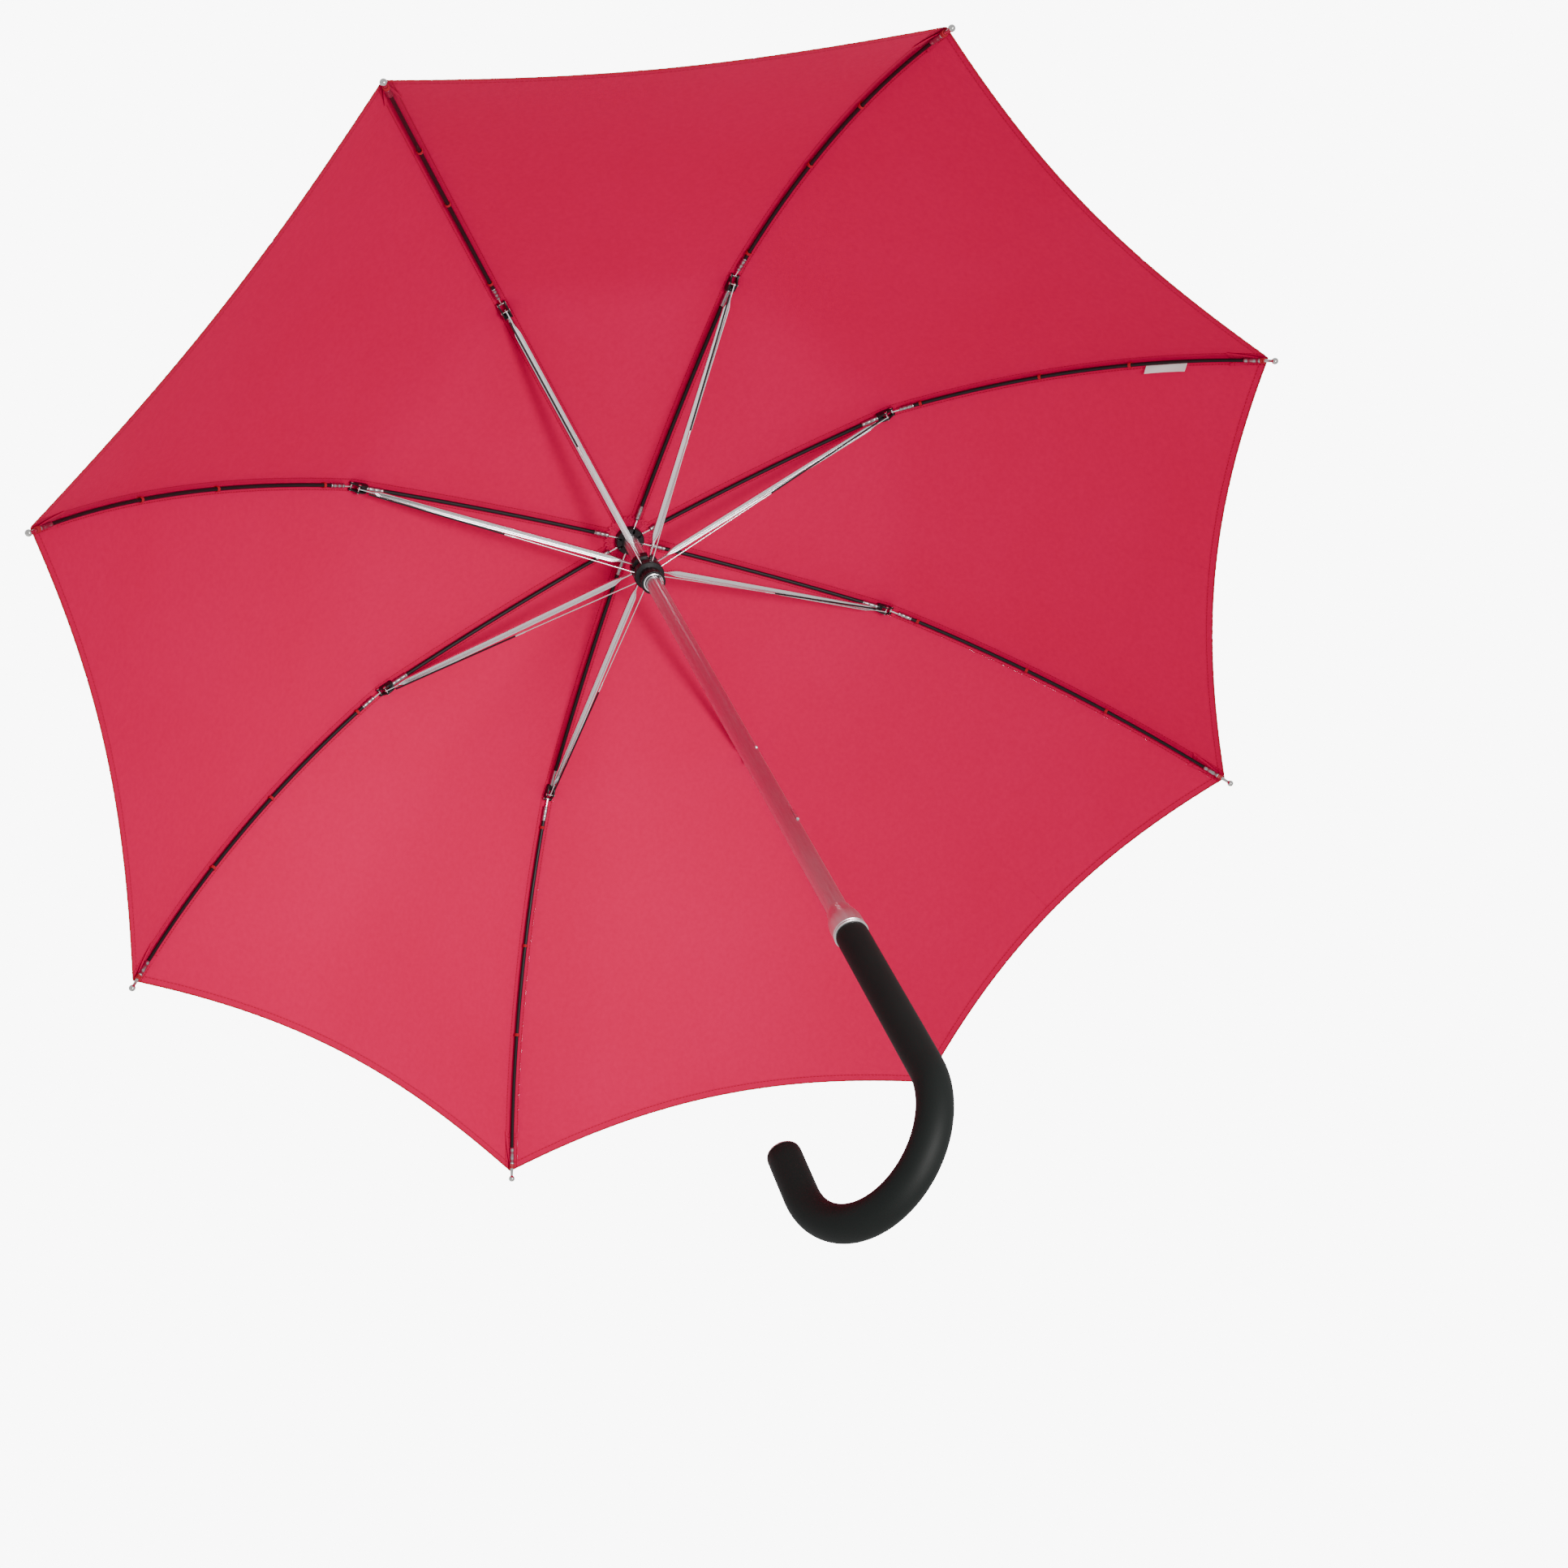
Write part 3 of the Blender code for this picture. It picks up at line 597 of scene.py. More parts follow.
def make_canopy(i):
    inner, outer, tip = f"rib_inner_{i}", f"rib_mid_{i}", f"rib_tip_{i}"
    quarter = INNER_LENGTH + OUTER_LENGTH / 4
    # The fabric round the crown, between the fixed hub and the rib.
    rows = [d - HINGE[0] for d in linear(CLAMP, COLLAR_END, 9)]
    crown_grid = [[(d, c / 5) for c in range(-5, 6)] for d in rows]
    piece, flat, area = cloth_piece(f"canopy_top_{i}", i, crown_grid)
    bend_at_crown(piece, i)
    # The strip over the rib, in two pieces that meet a quarter of the way along the outer rod.
    piece, flat, area = cloth_piece(f"canopy_seam_inner_{i}", i, strip_grid(START_AT, quarter, 30))
    before, after = INNER_LENGTH - KNUCKLE_REACH, INNER_LENGTH + KNUCKLE_REACH
    world_point(i, before)
    world_point(i, after)
    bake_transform(piece)
    grid = strip_grid(quarter, HEM_AT_RIB, 24)
    vs = [v_of(HEM_AT_RIB, STRIP * c) for c in STRIP_COLUMNS]
    grid[-1] = [(hem_at(v), v) for v in vs]
    piece, flat, area = cloth_piece(f"canopy_seam_outer_{i}", i, grid)
    bend_at_flex(piece, i)
    if i == 0:
        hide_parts(*[f"gore_{k}" for k in range(RIBS)])
    # Each half panel folds in three parts, with its rib's three rigid stretches: the part's name, body,
    # start and end, rows and columns of its grid, and whether it ends at the hem.
    stretches = (
        ("inner", inner, START_AT, INNER_LENGTH, 14, 8, False),
        ("middle", outer, INNER_LENGTH, FLEX_AT, 11, 12, False),
        ("outer", tip, FLEX_AT, RIB_END - HEM_MARGIN, 12, 14, True),
    )
    for side, hand in ((1, "left"), (-1, "right")):
        for part, body, start, end, rows, columns, to_hem in stretches:
            grid = wedge_grid(start, end, rows, columns, side, to_hem)
            piece, flat, area = cloth_piece(f"canopy_{part}_{hand}_{i}", i, grid)
            fold(piece, body, i, side, start, min(end, RIB_END - HEM_MARGIN))
        edge = v_of(RIB_END - HEM_MARGIN, STRIP)
        piece = hem_thread(f"hem_thread_{hand}_{i}", i, spread(edge, 1.0, 0.02, side))
        fold(piece, tip, i, side, FLEX_AT, RIB_END - HEM_MARGIN)
    piece = hem_thread(f"hem_thread_middle_{i}", i, [edge * c for c in (-1, -0.6, -0.2, 0.2, 0.6, 1)])
    ride(piece, tip)


def sewn(name, i, point, rows, columns, finish, half=CLOTH):
    """A closed thin shell over point(row share, column share), with its own weave coordinates in metres."""
    shares = [(r / rows, c / columns) for r in range(rows + 1) for c in range(columns + 1)]
    points = np.array([point(*share) for share in shares])
    shaped = points.reshape(rows + 1, columns + 1, 3)
    ups = np.cross(np.gradient(shaped, axis=0), np.gradient(shaped, axis=1)).reshape(-1, 3)
    ups /= np.linalg.norm(ups, axis=1)[:, None]
    layers = np.concatenate([points + ups * half, points - ups * half])
    count = len(points)
    inset = 0.002  # moves the material's stitching towards the edge
    across, along = lengths(shaped)
    mesh = bpy.data.meshes.new(name)
    mesh.from_pydata([tuple(p) for p in layers], [], shell(rows + 1, columns + 1))
    cloth, edge = mesh.uv_layers.new(name="cloth"), mesh.uv_layers.new(name="edge")
    for loop in mesh.loops:
        r, c = shares[loop.vertex_index % count]
        cloth.data[loop.index].uv = (r * along, c * across)
        edge.data[loop.index].uv = (min(r, 1 - r) * along + inset, min(c, 1 - c) * across + inset)
    shape = bmesh.new()
    shape.from_mesh(mesh)
    bmesh.ops.recalc_face_normals(shape, faces=shape.faces)
    shape.to_mesh(mesh)
    shape.free()
    mesh.shade_smooth()
    mesh.set_sharp_from_angle(angle=math.radians(60))
    mesh.transform(turn(i))
    flat, area = flat_and_area(shaped)
    return new_object(name, mesh, finish), flat, area


def make_rosette(i):
    """One eighth of the scalloped disc between the crown and the canopy."""
    outer, lobe = 0.0205, 0.0030
    below, droop = 0.0029, 0.0011

    def point(row, column):
        angle = (column * 2 - 1) * HALF
        far = outer + lobe * abs(math.sin(2 * RIBS * angle))
        radius = CLAMP + (far - CLAMP) * row
        return radius * math.cos(angle), radius * math.sin(angle), CROWN - below - droop * row

    piece, flat, area = sewn(f"rosette_{i}", i, point, 6, 32, ROSETTE)
    bend_at_crown(piece, i)
    if i == 0:
        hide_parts("inner_rosette")


# Ribs, stretchers and links -----------------------------------------------------------------------


def rib_line(start, end, count, lift=0.0):
    found = []
    for d in linear(start, end, count):
        radius, z, slope = rib_point(d)
        found.append((radius + lift * math.sin(slope), 0, z + lift * math.cos(slope)))
    return found


def slab(name, outline, half, side, finish, matrix, edge=0.0002):
    """A flat plate with rounded edges: an outline of (x, z) points, thick along Y about side."""
    mesh = bpy.data.meshes.new(name)
    shape = bmesh.new()
    base = [shape.verts.new((x, side - half, z)) for x, z in outline]
    face = shape.faces.new(base)
    moved = bmesh.ops.extrude_face_region(shape, geom=[face])["geom"]
    far = [v for v in moved if isinstance(v, bmesh.types.BMVert)]
    bmesh.ops.translate(shape, vec=(0, 2 * half, 0), verts=far)
    bmesh.ops.recalc_face_normals(shape, faces=shape.faces)
    rims = [e for e in shape.edges if abs(e.verts[0].co.y - e.verts[1].co.y) < half]
    bmesh.ops.bevel(shape, geom=rims, offset=edge, segments=2, affect="EDGES", profile=0.5)
    shape.to_mesh(mesh)
    shape.free()
    mesh.shade_smooth()
    mesh.set_sharp_from_angle(angle=math.radians(35))
    mesh.transform(matrix)
    return new_object(name, mesh, finish)


def rounded_end(x, low, high, toward, steps=10):
    """A half circle of outline points between two heights at x."""
    middle, radius = (low + high) / 2, (high - low) / 2
    turns = [math.pi * k / steps - math.pi / 2 for k in range(steps + 1)]
    return [(x + toward * radius * math.cos(a), middle + toward * radius * math.sin(a)) for a in turns]


def rivet(name, point, reach, radius, i, body):
    """A pin across Y with domed heads."""
    half = [(0, reach), (radius * 0.45, reach - 0.00004), (radius * 0.8, reach - 0.0002)]
    half += [(radius, reach - 0.0005), (radius, reach - 0.0008), (radius * 0.42, reach - 0.0008)]
    profile = half + [(r, -z) for r, z in reversed(half)]
    matrix = local(point, 0, i) @ Matrix.Rotation(math.pi / 2, 4, "X")
    return ride(lathe(name, profile, NICKEL, 20, matrix=matrix, loop=False), body)


def crimped(name, start, end, radius, i, dents=3):
    """A sleeve pressed round the bar in a few places."""
    count = 24
    points = rib_line(start, end, count)
    radii = []
    for k in range(count + 1):
        share = k / count
        dent = 0.5 + 0.5 * math.cos(2 * math.pi * dents * share)
        close = 0.82 if k in (0, count) else 1
        radii.append(radius * close * (1 - 0.13 * (1 - dent) ** 3))
    return tube(name, points, radii, DULL, 16, turn(i))


INNER_BAR, OUTER_ROD, ROD_TAPER = 0.0018, 0.0017, 0.0003  # the bars' radii, and what the rod loses to its tip
BALL = 0.00265
CHEEK_SIDE = 0.003  # from the rib's plane to the middle of a knuckle's cheek


def make_inner_rib(i):
    body = f"rib_inner_{i}"
    line = rib_line(0.011, INNER_LENGTH - 0.009, 40)
    bar = tube(f"inner_bar_{i}", line, [INNER_BAR] * len(line), BLACK, 14, turn(i))
    ride(bar, body, [f"rib_inner_{i}"])
    slope = INNER_SLOPE - INNER_TURN
    outline = rounded_end(0, -0.0015, 0.0015, -1) + [(0.009, -0.0016), (0.0135, -0.0019)]
    outline += [(0.0135, 0.0019), (0.009, 0.0016)]
    ride(slab(f"inner_tongue_{i}", outline, 0.0006, 0, STEEL, local(HINGE, slope, i)), body)
    ride(crimped(f"inner_crimp_{i}", 0.0115, 0.025, 0.00235, i), body)
    end_slope = INNER_SLOPE + INNER_TURN
    here = local(KNUCKLE, end_slope, i)
    for hand, side in (("left", -CHEEK_SIDE), ("right", CHEEK_SIDE)):
        outline = rounded_end(0.0001, -0.0018, 0.0018, 1)
        outline += [(-0.0125, 0.0018), (-0.014, 0.0008), (-0.014, -0.0030), (-0.011, -0.0052)]
        outline += [(-0.0085, -0.0058), (-0.0045, -0.0056), (-0.0020, -0.0030)]
        ride(slab(f"cheek_{hand}_{i}", outline[::-1], 0.0007, side, HUB, here), body)
    low, high = (-0.014, -CHEEK_SIDE, -0.0018), (-0.0103, CHEEK_SIDE, 0.0018)
    ride(block(f"cheek_bridge_{i}", low, high, HUB, here, 0.0004), body)
    ride(crimped(f"knuckle_crimp_{i}", INNER_LENGTH - 0.029, INNER_LENGTH - 0.0135, 0.0024, i), body)
    rivet(f"knuckle_rivet_{i}", KNUCKLE, 0.0044, 0.0015, i, body)
    rivet(f"stretcher_rivet_{i}", ARM_END, 0.0044, 0.0014, i, body)


def make_outer_rib(i):
    middle, tip = f"rib_mid_{i}", f"rib_tip_{i}"
    start, end = INNER_LENGTH + 0.008, RIB_END - 0.014
    count = 60
    radii = []
    for d in linear(start, end, count):
        share = min(max((d - FLEX_AT) / (end - FLEX_AT), 0), 1)
        radii.append(OUTER_ROD - ROD_TAPER * share)
    rod = tube(f"outer_rod_{i}", rib_line(start, end, count), radii, BLACK, 14, turn(i))
    bend_at_flex(rod, i)
    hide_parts(f"rib_mid_{i}", f"rib_tip_{i}")
    slope = OUTER_SLOPE - OUTER_TURN
    outline = rounded_end(0, -0.0016, 0.0016, -1) + [(0.0115, -0.0016), (0.0115, 0.0016)]
    ride(slab(f"outer_tongue_{i}", outline, 0.0006, 0, STEEL, local(KNUCKLE, slope, i)), middle)
    ride(crimped(f"outer_crimp_{i}", INNER_LENGTH + 0.0075, INNER_LENGTH + 0.021, 0.0023, i), middle)
    for k, d in enumerate((INNER_LENGTH + 0.0275, FLEX_AT - 0.036)):
        make_tie(f"tie_{k}_{i}", d, i, middle)
    make_tie(f"tie_2_{i}", FLEX_AT + 0.046, i, tip)
    # The tip: a crimped socket, a slender neck and a ball, with the fabric's corner sewn round it.
    ride(crimped(f"tip_socket_{i}", RIB_END - 0.027, RIB_END - 0.0125, 0.0021, i, 2), tip)
    neck, neck_start, neck_taper, taper_length = 0.0135, 0.0019, 0.0007, 0.0085
    points = rib_line(RIB_END - neck, RIB_END + BALL, 22)
    radii = []
    for d in linear(-neck, BALL, 22):
        if d < -BALL * 0.9:
            radii.append(neck_start - neck_taper * min(1, (d + neck) / taper_length))
        else:
            radii.append(max(math.sqrt(max(BALL**2 - d**2, 0)), 0.00012))
    ride(tube(f"tip_{i}", points, radii, NICKEL, 20, turn(i)), tip)
    for k, d in enumerate((RIB_END - 0.0118, RIB_END - 0.0105, RIB_END - 0.0092)):
        loops = torus(f"corner_thread_{k}_{i}", 0.0019, 0.0005, THREAD, local(*at_rib(d), i), 20, 8)
        ride(loops, tip)
    make_pocket(i, tip)


def at_rib(d):
    radius, z, slope = rib_point(d)
    return (radius, z), slope


def torus(name, radius, wire, finish, matrix, steps=24, sides=10):
    """A ring about the local X axis."""
    turns = [2 * math.pi * k / sides for k in range(sides)]
    profile = [(radius + wire * math.cos(a), wire * math.sin(a)) for a in turns]
    return lathe(name, profile, finish, steps, matrix=matrix @ Matrix.Rotation(math.pi / 2, 4, "Y"))


def make_tie(name, d, i, body):
    """A thread that ties the seam to the rod: three loops round it and a stem up to the fabric."""
    spacing, radius, wire = 0.00085, 0.00208, 0.00042
    for k in range(3):
        here = local(*at_rib(d + (k - 1) * spacing), i)
        ride(torus(f"{name}_{k}", radius, wire, THREAD, here, 18, 8), body)
    (radius, z), slope = at_rib(d)
    up = Vector((math.sin(slope), 0, math.cos(slope)))
    foot = Vector((radius, 0, z)) + up * 0.0018
    points = [foot, foot + up * 0.0008, foot + up * 0.0019]
    ride(tube(f"{name}_stem", points, [0.0011, 0.0007, 0.0012], THREAD, 10, turn(i)), body)


def make_pocket(i, body):
    """The doubled corner of the fabric, drawn in round the tip."""
    near, far = RIB_END - 0.040, RIB_END - 0.0088

    def point(row, column):
        d = near + (far - near) * row
        half = 0.0052 * (1 - row) ** 0.8 + 0.0016
        y = (column * 2 - 1) * half
        drop = 0.0010 + 0.0026 * row**2 * (1 - abs(column * 2 - 1) ** 2 * 0.4)
        v = v_of(d, y)
        return cloth_point(d, v) - cloth_normal(d, v) * drop

    piece, flat, area = sewn(f"corner_{i}", i, point, 10, 8, FABRIC)
    ride(piece, body)


def channel_loop(x, half, low, high, wall, side):
    """A U section, open downwards: outside from left to right, then back along the inside."""
    corner = min(0.0006, half * 0.5)
    inner, roof = half - wall, high - wall
    outside = [(-half, low), (-half, high - corner)]
    outside += [(-half + corner * 0.3, high - corner * 0.3), (-half + corner, high)]
    inside = [(-inner, low), (-inner, roof - corner * 0.6), (-inner + corner * 0.6, roof)]
    loop = outside + [(-y, z) for y, z in reversed(outside)]
    loop += [(-y, z) for y, z in inside] + list(reversed(inside))
    return [(x, y + side, z) for y, z in loop]


def make_stretcher(i):
    """A pressed channel, drawn to a point at both ends and flattened to tongues there."""
    eye, taper_start, taper_end = 0.0018, 0.010, 0.023
    tongue, width, plate = 0.00042, 0.0027, 0.0004  # half widths of tongue and channel, and the metal
    length = math.hypot(ARM_END[0] - RUNNER_PIN[0], ARM_END[1] - RUNNER_PIN[1])
    xs = [-eye + eye * (1 - math.cos(math.pi / 2 * k / 8)) for k in range(9)]
    xs += linear(0.002, taper_start, 3) + linear(taper_start + 0.001, taper_end, 12) + [0.05, 0.09]
    xs = xs + [length / 2] + [length - x for x in reversed(xs)]
    loops = []
    for x in xs:
        inward = min(x, length - x)
        share = min(max((inward - taper_start) / (taper_end - taper_start), 0), 1)
        share = share * share * (3 - 2 * share)
        half = tongue + (width - tongue) * share
        wall = min(plate, half * 0.96)
        low, high = -0.0017 + 0.0007 * min(1, share * 6) - 0.0005 * max(0, share * 2 - 1), 0.0018
        if inward < 0:
            reach = math.sqrt(max(eye**2 - inward**2, 0)) + 0.00004
            low, high = -reach, reach
            wall = min(wall, reach * 0.5)
        loops.append(channel_loop(-x, half, low, high, wall, 0.0006 * (1 - share)))
    verts = [point for loop in loops for point in loop]
    count = len(loops[0])
    faces = []
    for k in range(len(loops) - 1):
        for j in range(count):
            c = (j + 1) % count
            a, b = k * count, (k + 1) * count
            faces.append((a + j, b + j, b + c, a + c))
    faces += [tuple(range(count)), tuple(range(len(verts) - count, len(verts)))]
    slope = math.atan2(ARM_END[1] - RUNNER_PIN[1], ARM_END[0] - RUNNER_PIN[0])
    obj = mesh_from(f"stretcher_channel_{i}", verts, faces, STEEL, local(ARM_END, -slope, i), 38)
    ride(obj, f"stretcher_{i}", [f"stretcher_{i}"])


LINK_SLOPE = math.atan2(ARM_END[1] - 0.002 - LINK_PIN[1], ARM_END[0] - LINK_PIN[0])


def make_link(i):
    """A thin bright wire that enters a thicker dark rod half-way."""
    side, middle, end = -0.0012, 0.118, 0.240
    wire_radius, rod_radius = 0.00058, 0.0008
    parts = (
        ("wire", -0.0004, middle + 0.004, [wire_radius] * 9, STEEL, 10),
        ("rod", middle - 0.006, end, [rod_radius] * 9, BLACK, 10),
        ("sleeve", middle - 0.008, middle + 0.002, SLEEVE_RADII, STEEL, 12),
    )
    here = local(LINK_PIN, -LINK_SLOPE, i)
    for name, start, stop, radii, finish, sides in parts:
        points = [(x, side, 0) for x in linear(start, stop, len(radii) - 1)]
        piece = tube(f"link_{name}_{i}", points, radii, finish, sides, here)
        ride(piece, f"link_{i}", [f"link_{i}"] if name == "wire" else ())


SLEEVE_RADII = (0.0008, 0.00096, 0.00104, 0.00096, 0.00104, 0.00096, 0.0009)  # a sleeve pressed in two places


# Shaft, hubs and handle ---------------------------------------------------------------------------


def finish_node(name, material):
    data = frame["nodes"][name].data
    data.materials.clear()
    data.materials.append(material)


def ring_about_z(name, radius, wire, z, finish, body="root"):
    turns = [2 * math.pi * k / 10 for k in range(10)]
    profile = [(radius + wire * math.cos(a), z + wire * math.sin(a)) for a in turns]
    return ride(lathe(name, profile, finish, 72), body)


def make_hubs():
    finish_node("crown", HUB)
    finish_node("runner", HUB)
    wire = 0.00047
    ring_about_z("crown_pin", HINGE[0], wire, HINGE[1], NICKEL)
    ring_about_z("runner_pin", RUNNER_PIN[0], wire, RUNNER_PIN[1], NICKEL, "runner")
    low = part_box("runner")[0].z
    # The fluted sleeve, the flange's lip and its bright washer.
    top, bottom = LINK_PIN[1] - 0.0046, low + 0.0036
    inside, flute = 0.0091, 0.00045

    def fluted(angle, radius, z):
        """Sixteen flutes, cut into the outside only."""
        if radius < inside:
            return radius
        return radius - flute * (0.5 + 0.5 * math.cos(16 * angle)) ** 2

    profile = [(0.0089, bottom), (0.0095, bottom), (0.0098, bottom + 0.0008), (0.0098, top - 0.0012)]
    profile += [(0.0094, top), (0.0089, top)]
    ride(lathe("runner_flutes", profile, HUB, 192, fluted), "runner")
    profile = [(0.0107, low + 0.0003), (0.0109, low + 0.0006), (0.0109, low + 0.0016), (0.0107, low + 0.0020)]
    profile += [(0.0100, low + 0.0020), (0.0100, low + 0.0003)]
    ride(lathe("runner_lip", profile, HUB, 96), "runner")
    profile = [(0.0076, low - 0.00025), (0.0086, low - 0.00025), (0.0088, low - 0.0001)]
    profile += [(0.0088, low + 0.0002), (0.0076, low + 0.0002)]
    ride(lathe("runner_washer", profile, STEEL, 72, keyed), "runner")


def keyed(angle, radius, z):
    """Keeps the catches' keyway open through a washer."""
    keyway, half_angle = 0.0085, 0.2
    away = abs(math.atan2(math.sin(angle - math.pi), math.cos(angle - math.pi)))
    return max(radius, keyway) if away < half_angle else radius


def make_shaft():
    finish_node("shaft_tube", SHAFT)
    finish_node("top_catch", STEEL)
    finish_node("lower_catch", STEEL)
    dome = [(0, 0.0010), (0.0007, 0.0009), (0.0012, 0.0005), (0.0014, 0), (0.0014, -0.0004), (0, -0.0004)]
    shaft_radius, bump_below = 0.0070, 0.398
    place = Matrix.Translation((-shaft_radius, 0, CROWN - bump_below))
    matrix = place @ Matrix.Rotation(-math.pi / 2, 4, "Y")
    ride(lathe("shaft_rivet", dome, STEEL, 20, matrix=matrix, loop=False), "root")
    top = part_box("ferrule")[1].z
    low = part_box("crown_cap")[0].z
    profile = [(0.0074, low), (0.0165, low), (0.0168, low + 0.0004), (0.0166, low + 0.0013)]
    profile += [(0.0150, low + 0.0024), (0.0134, low + 0.0040), (0.0122, low + 0.0052)]
    profile += [(0.0108, low + 0.0070), (0.0102, low + 0.0086), (0.0098, low + 0.0088)]
    profile += [(0.0090, low + 0.0088), (0.0074, low + 0.0086)]
    ride(lathe("cap", profile, HUB, 96), "root", ["crown_cap"])
    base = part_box("shaft_tube")[1].z + 0.0003
    profile = [(0, top), (0.0016, top), (0.0029, top - 0.0004), (0.0039, top - 0.0014)]
    profile += [(0.0044, top - 0.003), (0.0047, top - 0.0060), (0.0050, top - 0.016)]
    profile += [(0.0053, base + 0.026), (0.0057, base + 0.018), (0.0066, base + 0.0115)]
    profile += [(0.0075, base + 0.0080), (0.0079, base + 0.0066), (0.0075, base + 0.0062)]
    profile += [(0.0075, base + 0.0056), (0.0083, base + 0.0052), (0.0086, base + 0.0040)]
    profile += [(0.0086, base), (0, base)]
    ride(lathe("spike", profile, FERRULE, 72, loop=False), "root", ["ferrule"])


def make_handle():
    low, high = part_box("collar")[0].z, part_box("collar")[1].z
    middle = low + 0.0115
    profile = [(0.0073, high), (0.0077, high), (0.0079, high - 0.0004)]
    for k in range(13):
        share = k / 12
        eased = share * share * (3 - 2 * share)
        profile.append((0.0080 + 0.0028 * eased, high - 0.0005 - (high - middle - 0.0005) * share))
    profile += [(0.0109, middle - 0.0008), (0.0110, low + 0.0024), (0.0106, low + 0.0021)]
    profile += [(0.0106, low + 0.0017), (0.0111, low + 0.0014), (0.01125, low + 0.0008)]
    profile += [(0.0111, low + 0.0002), (0.0108, low), (0.0073, low)]
    ride(lathe("collar_turned", profile, COLLAR, 128), "root", ["collar"])
    # The crook: straight, then half a turn towards +X, then a short hook.
    grip_low, grip_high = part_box("grip")
    end_low, end_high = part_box("end_cap")
    bar = (end_high.x - end_low.x) / 2
    centre = (end_high.x + end_low.x) / 4
    bend_z = grip_low.z + bar + centre
    points = [(0, 0, grip_high.z), (0, 0, grip_high.z - 0.0004)]
    points += [(0, 0, z) for z in linear(grip_high.z - 0.0012, bend_z, 12)]
    for k in range(1, 65):
        a = math.pi * k / 64
        points.append((centre - centre * math.cos(a), 0, bend_z - centre * math.sin(a)))
    hook = end_low.z - 0.0003
    points += [(2 * centre, 0, z) for z in linear(bend_z, hook, 4)[1:]]
    points.append((2 * centre, 0, hook))
    points[-2] = (2 * centre, 0, hook - 0.0006)
    radii = [bar - 0.0005, bar - 0.0001] + [bar] * (len(points) - 3) + [bar - 0.0004]
    grip = tube("grip_crook", points, radii, GRIP, 64)
    ride(grip, "root", ["grip"])
    profile = [(0, end_high.z)]
    rise, rim = end_high.z - end_low.z - 0.0009, bar - 0.0004
    for k in range(1, 17):
        a = math.pi / 2 * (1 - k / 16)
        profile.append((rim * math.cos(a), end_low.z + 0.0009 + rise * math.sin(a)))
    profile += [(bar - 0.0002, end_low.z + 0.0006), (bar - 0.0002, end_low.z), (0, end_low.z)]
    cap = lathe("grip_end", profile, CAP, 64, matrix=Matrix.Translation((2 * centre, 0, 0)), loop=False)
    ride(cap, "root", ["end_cap"])


# Strap and label ----------------------------------------------------------------------------------

STRAP_RIB, LABEL_RIB = 6, 4


def make_strap():
    body = f"rib_mid_{STRAP_RIB}"
    start, end, half = INNER_LENGTH + 0.012, INNER_LENGTH + 0.160, 0.0118
    above = 0.0014  # the canopy's middle surface

    def band(d, y, lift):
        v = v_of(d, y)
        ripple = 0.00025 * math.sin(d * 190 + 1) * (0.4 + abs(y) / half)
        return cloth_point(d, v) + cloth_normal(d, 0) * (lift + ripple)

    def point(row, column):
        d = start + (end - start) * row
        narrow = 1 - 0.35 * max(0, (row - 0.96) / 0.04) ** 2
        return band(d, (column * 2 - 1) * half * narrow, above)

    piece, flat, area = sewn("strap_band", STRAP_RIB, point, 44, 8, STRAP, 0.0003)
    for hand, side in (("left", -1), ("right", 1)):
        points = [band(d, side * half, above) for d in linear(start, end - 0.006, 100)]
        radii = beaded(len(points), 0.00052, 0.00013)
        edge = tube(f"strap_edge_{hand}", points, radii, THREAD, 6, turn(STRAP_RIB))
        ride(edge, body)
    for k, d in enumerate((start + 0.002, start + 0.005)):
        points = [band(d, half * s * 0.9, above + 0.0004) for s in linear(-1, 1, 24)]
        radii = beaded(len(points), 0.0002, 0.00012)
        bar = tube(f"strap_stitch_{k}", points, radii, THREAD, 6, turn(STRAP_RIB))
        ride(bar, body)
    snap_at = end - 0.012
    at = Vector(band(snap_at, 0, above + 0.0003))
    slope = rib_point(snap_at)[2]
    stud = [(0, 0.00035), (0.0016, 0.00035), (0.0021, 0.0006), (0.0026, 0.0006), (0.0032, 0.00035)]
    stud += [(0.0052, 0.00045), (0.0060, 0.0006), (0.0066, 0.00035), (0.00675, 0)]
    stud += [(0.0065, -0.0002), (0, -0.0002)]
    snap = lathe("strap_snap", stud, NICKEL, 48, matrix=local((at.x, at.z), slope, STRAP_RIB), loop=False)
    ride(snap, body)
    ride(piece, body, ["strap"])


def make_label():
    """A folded white tape, blank, sewn into the seam on the underside."""
    body = f"rib_tip_{LABEL_RIB}"
    middle, half_length = FLEX_AT + 0.078, 0.018
    start, end = middle - half_length, middle + half_length

    def point(row, column):
        d = start + (end - start) * row
        y = 0.0036 + 0.0054 * column
        v = v_of(d, y)
        gap = 0.0011 + 0.0030 * column + 0.0004 * math.sin(row * 5 + column * 2)
        return cloth_point(d, v) - cloth_normal(d, v) * gap

    piece, flat, area = sewn("label", LABEL_RIB, point, 16, 6, LABEL, 0.00025)
    ride(piece, body)


for rib in range(RIBS):
    make_canopy(rib)
    make_rosette(rib)
    make_inner_rib(rib)
    make_outer_rib(rib)
    make_stretcher(rib)
    make_link(rib)
make_hubs()
make_shaft()
make_handle()
make_strap()
make_label()


# Camera, light and stage --------------------------------------------------------------------------

CAMERA_AT = Vector((-0.2745, 0.6876, CROWN - 1.4700))
CAMERA_AHEAD = Vector((0.1796, -0.4488, 0.8754))
CAMERA_RIGHT = Vector((-0.6500, -0.7221, -0.2368))
FLOOR_Z = -1.25


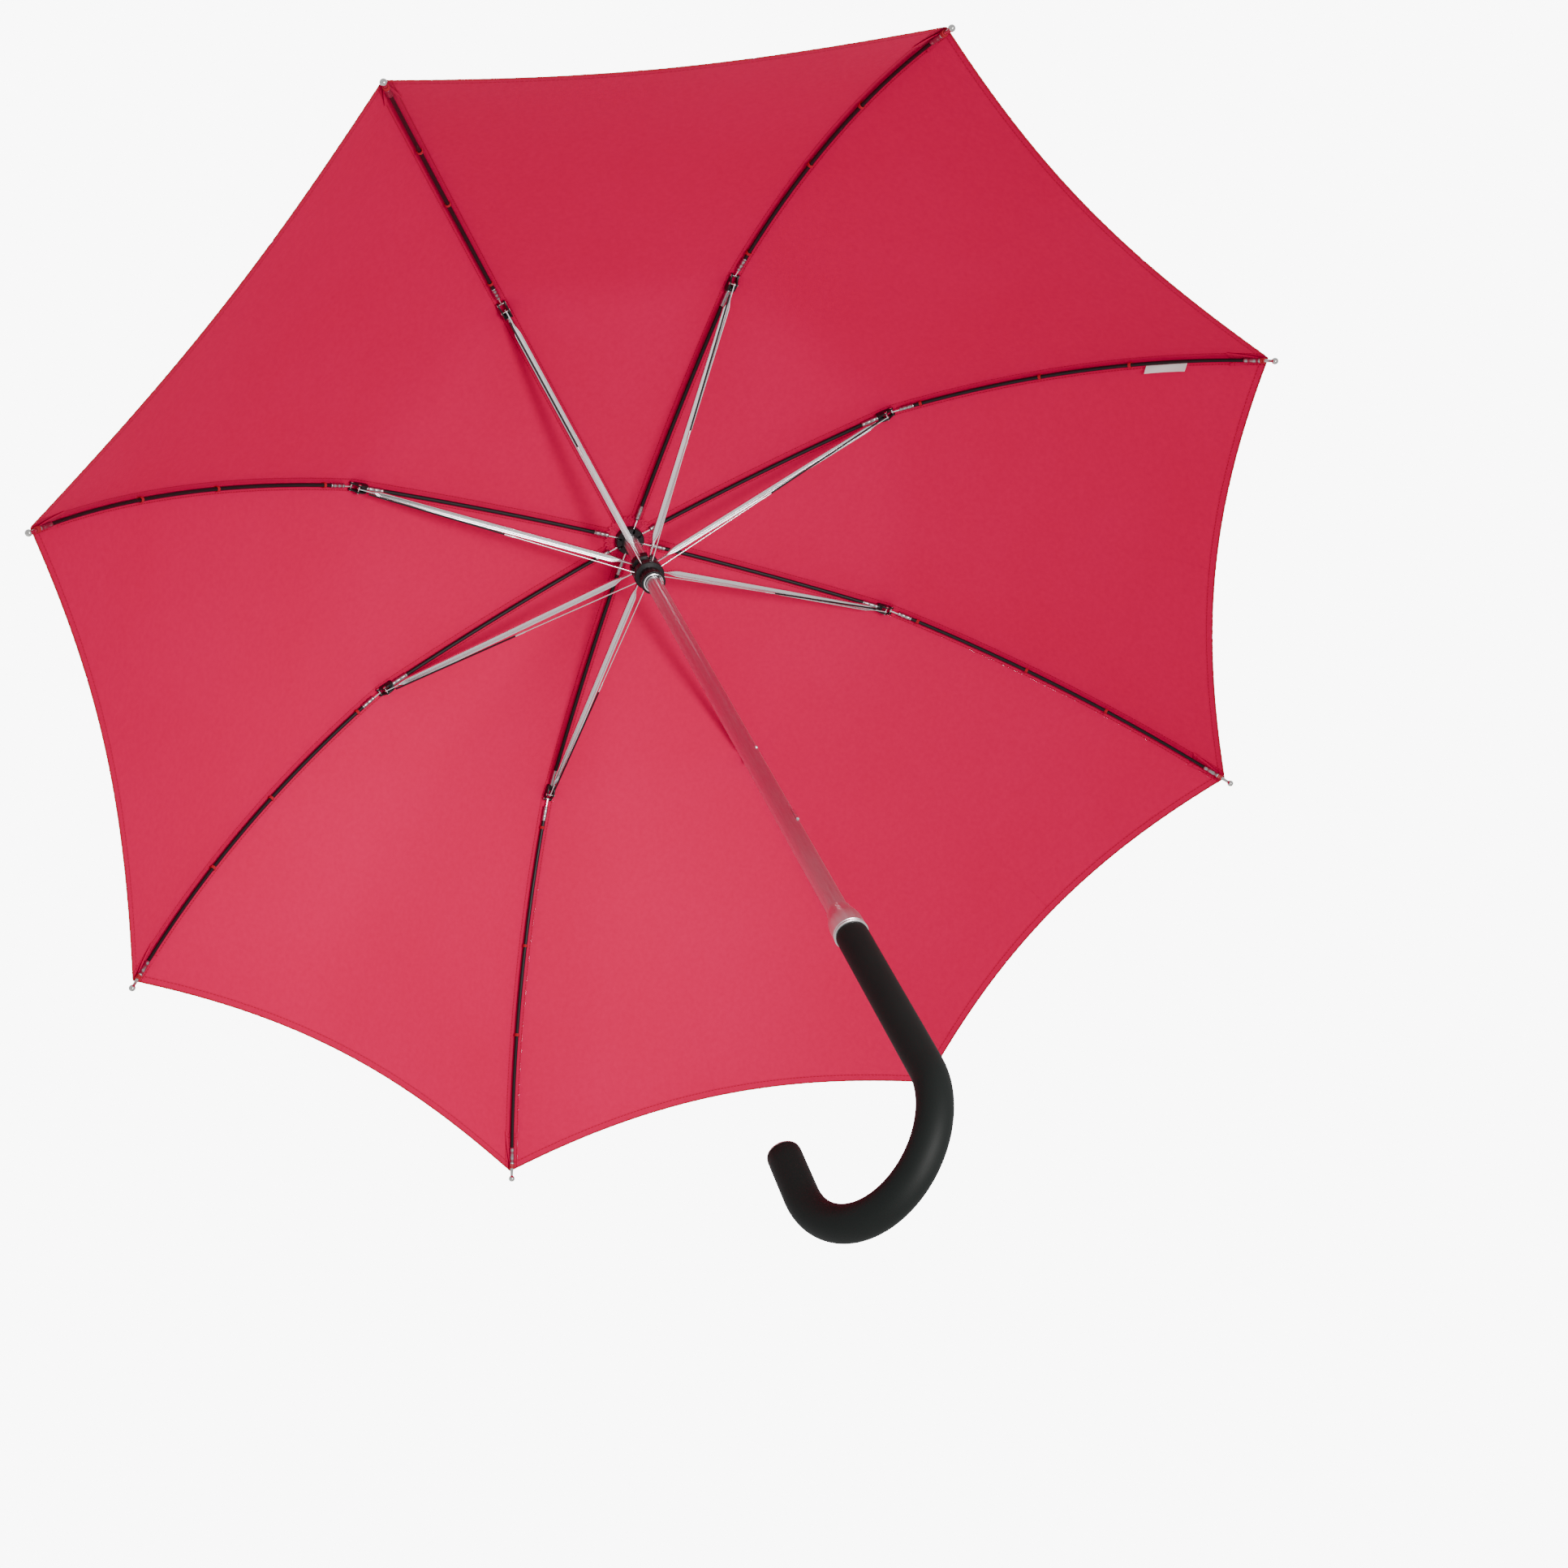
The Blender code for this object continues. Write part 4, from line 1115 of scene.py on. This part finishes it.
def make_camera():
    data = bpy.data.cameras.new("camera")
    data.lens = 41.27
    data.sensor_width = 36
    data.shift_x = 0.0785
    data.shift_y = -0.1190
    camera = bpy.data.objects.new("camera", data)
    bpy.context.scene.collection.objects.link(camera)
    back = -CAMERA_AHEAD.normalized()
    up = back.cross(CAMERA_RIGHT).normalized()
    right = up.cross(back)
    axes = Matrix((right, up, back)).transposed().to_4x4()
    camera.matrix_world = Matrix.Translation(CAMERA_AT) @ axes
    bpy.context.scene.camera = camera


def area_light(name, at, towards, size, power):
    data = bpy.data.lights.new(name, "AREA")
    data.size = size
    data.energy = power
    place_light(data, at, towards)


def spot_light(name, at, towards, angle, radius, power, color):
    data = bpy.data.lights.new(name, "SPOT")
    data.spot_size = math.radians(angle)
    data.spot_blend = 1.0
    data.shadow_soft_size = radius
    data.energy = power
    data.color = color
    place_light(data, at, towards)


def place_light(data, at, towards):
    light = bpy.data.objects.new(data.name, data)
    bpy.context.scene.collection.objects.link(light)
    light.location = at
    light.rotation_euler = (Vector(towards) - Vector(at)).to_track_quat("-Z", "Y").to_euler()


def make_stage():
    world = bpy.data.worlds.new("studio")
    bpy.context.scene.world = world
    world.use_nodes = True
    background = world.node_tree.nodes["Background"]
    background.inputs["Color"].default_value = (1.0, 1.0, 1.0, 1)
    # The backdrop is seen brighter than it lights.
    seen = world.node_tree.nodes.new("ShaderNodeLightPath")
    strength = world.node_tree.nodes.new("ShaderNodeMapRange")
    strength.inputs["To Min"].default_value = 0.8
    strength.inputs["To Max"].default_value = 9.0
    world.node_tree.links.new(seen.outputs["Is Camera Ray"], strength.inputs["Value"])
    world.node_tree.links.new(strength.outputs["Result"], background.inputs["Strength"])
    n = Nodes("pale_floor")
    tone = n.mix(n.noise(3.0), (0.78, 0.78, 0.76, 1), (0.82, 0.82, 0.80, 1))
    n.set(Base_Color=tone, Roughness=0.8)
    bpy.ops.mesh.primitive_plane_add(size=14, location=(0, 0, FLOOR_Z))
    floor = bpy.context.object
    floor.name = "floor"
    floor.data.materials.append(n.material)
    canopy = (0, 0, 0.5)
    # A soft lamp under the canopy, and a narrow one beside it for the paler part of the fabric.
    lamp = (-0.75, 0.20, -1.10)
    area_light("key", lamp, (0.3, -0.1, 0.55), 0.5, 17)
    spot_light("glow", lamp, (0.36, -0.08, 0.50), 32, 0.3, 105, (1.0, 0.93, 0.92))
    area_light("fill", (1.8, 0.2, -0.3), canopy, 2.0, 4)
    area_light("top", (0.8, -0.9, 2.8), canopy, 2.2, 26)


make_camera()
make_stage()
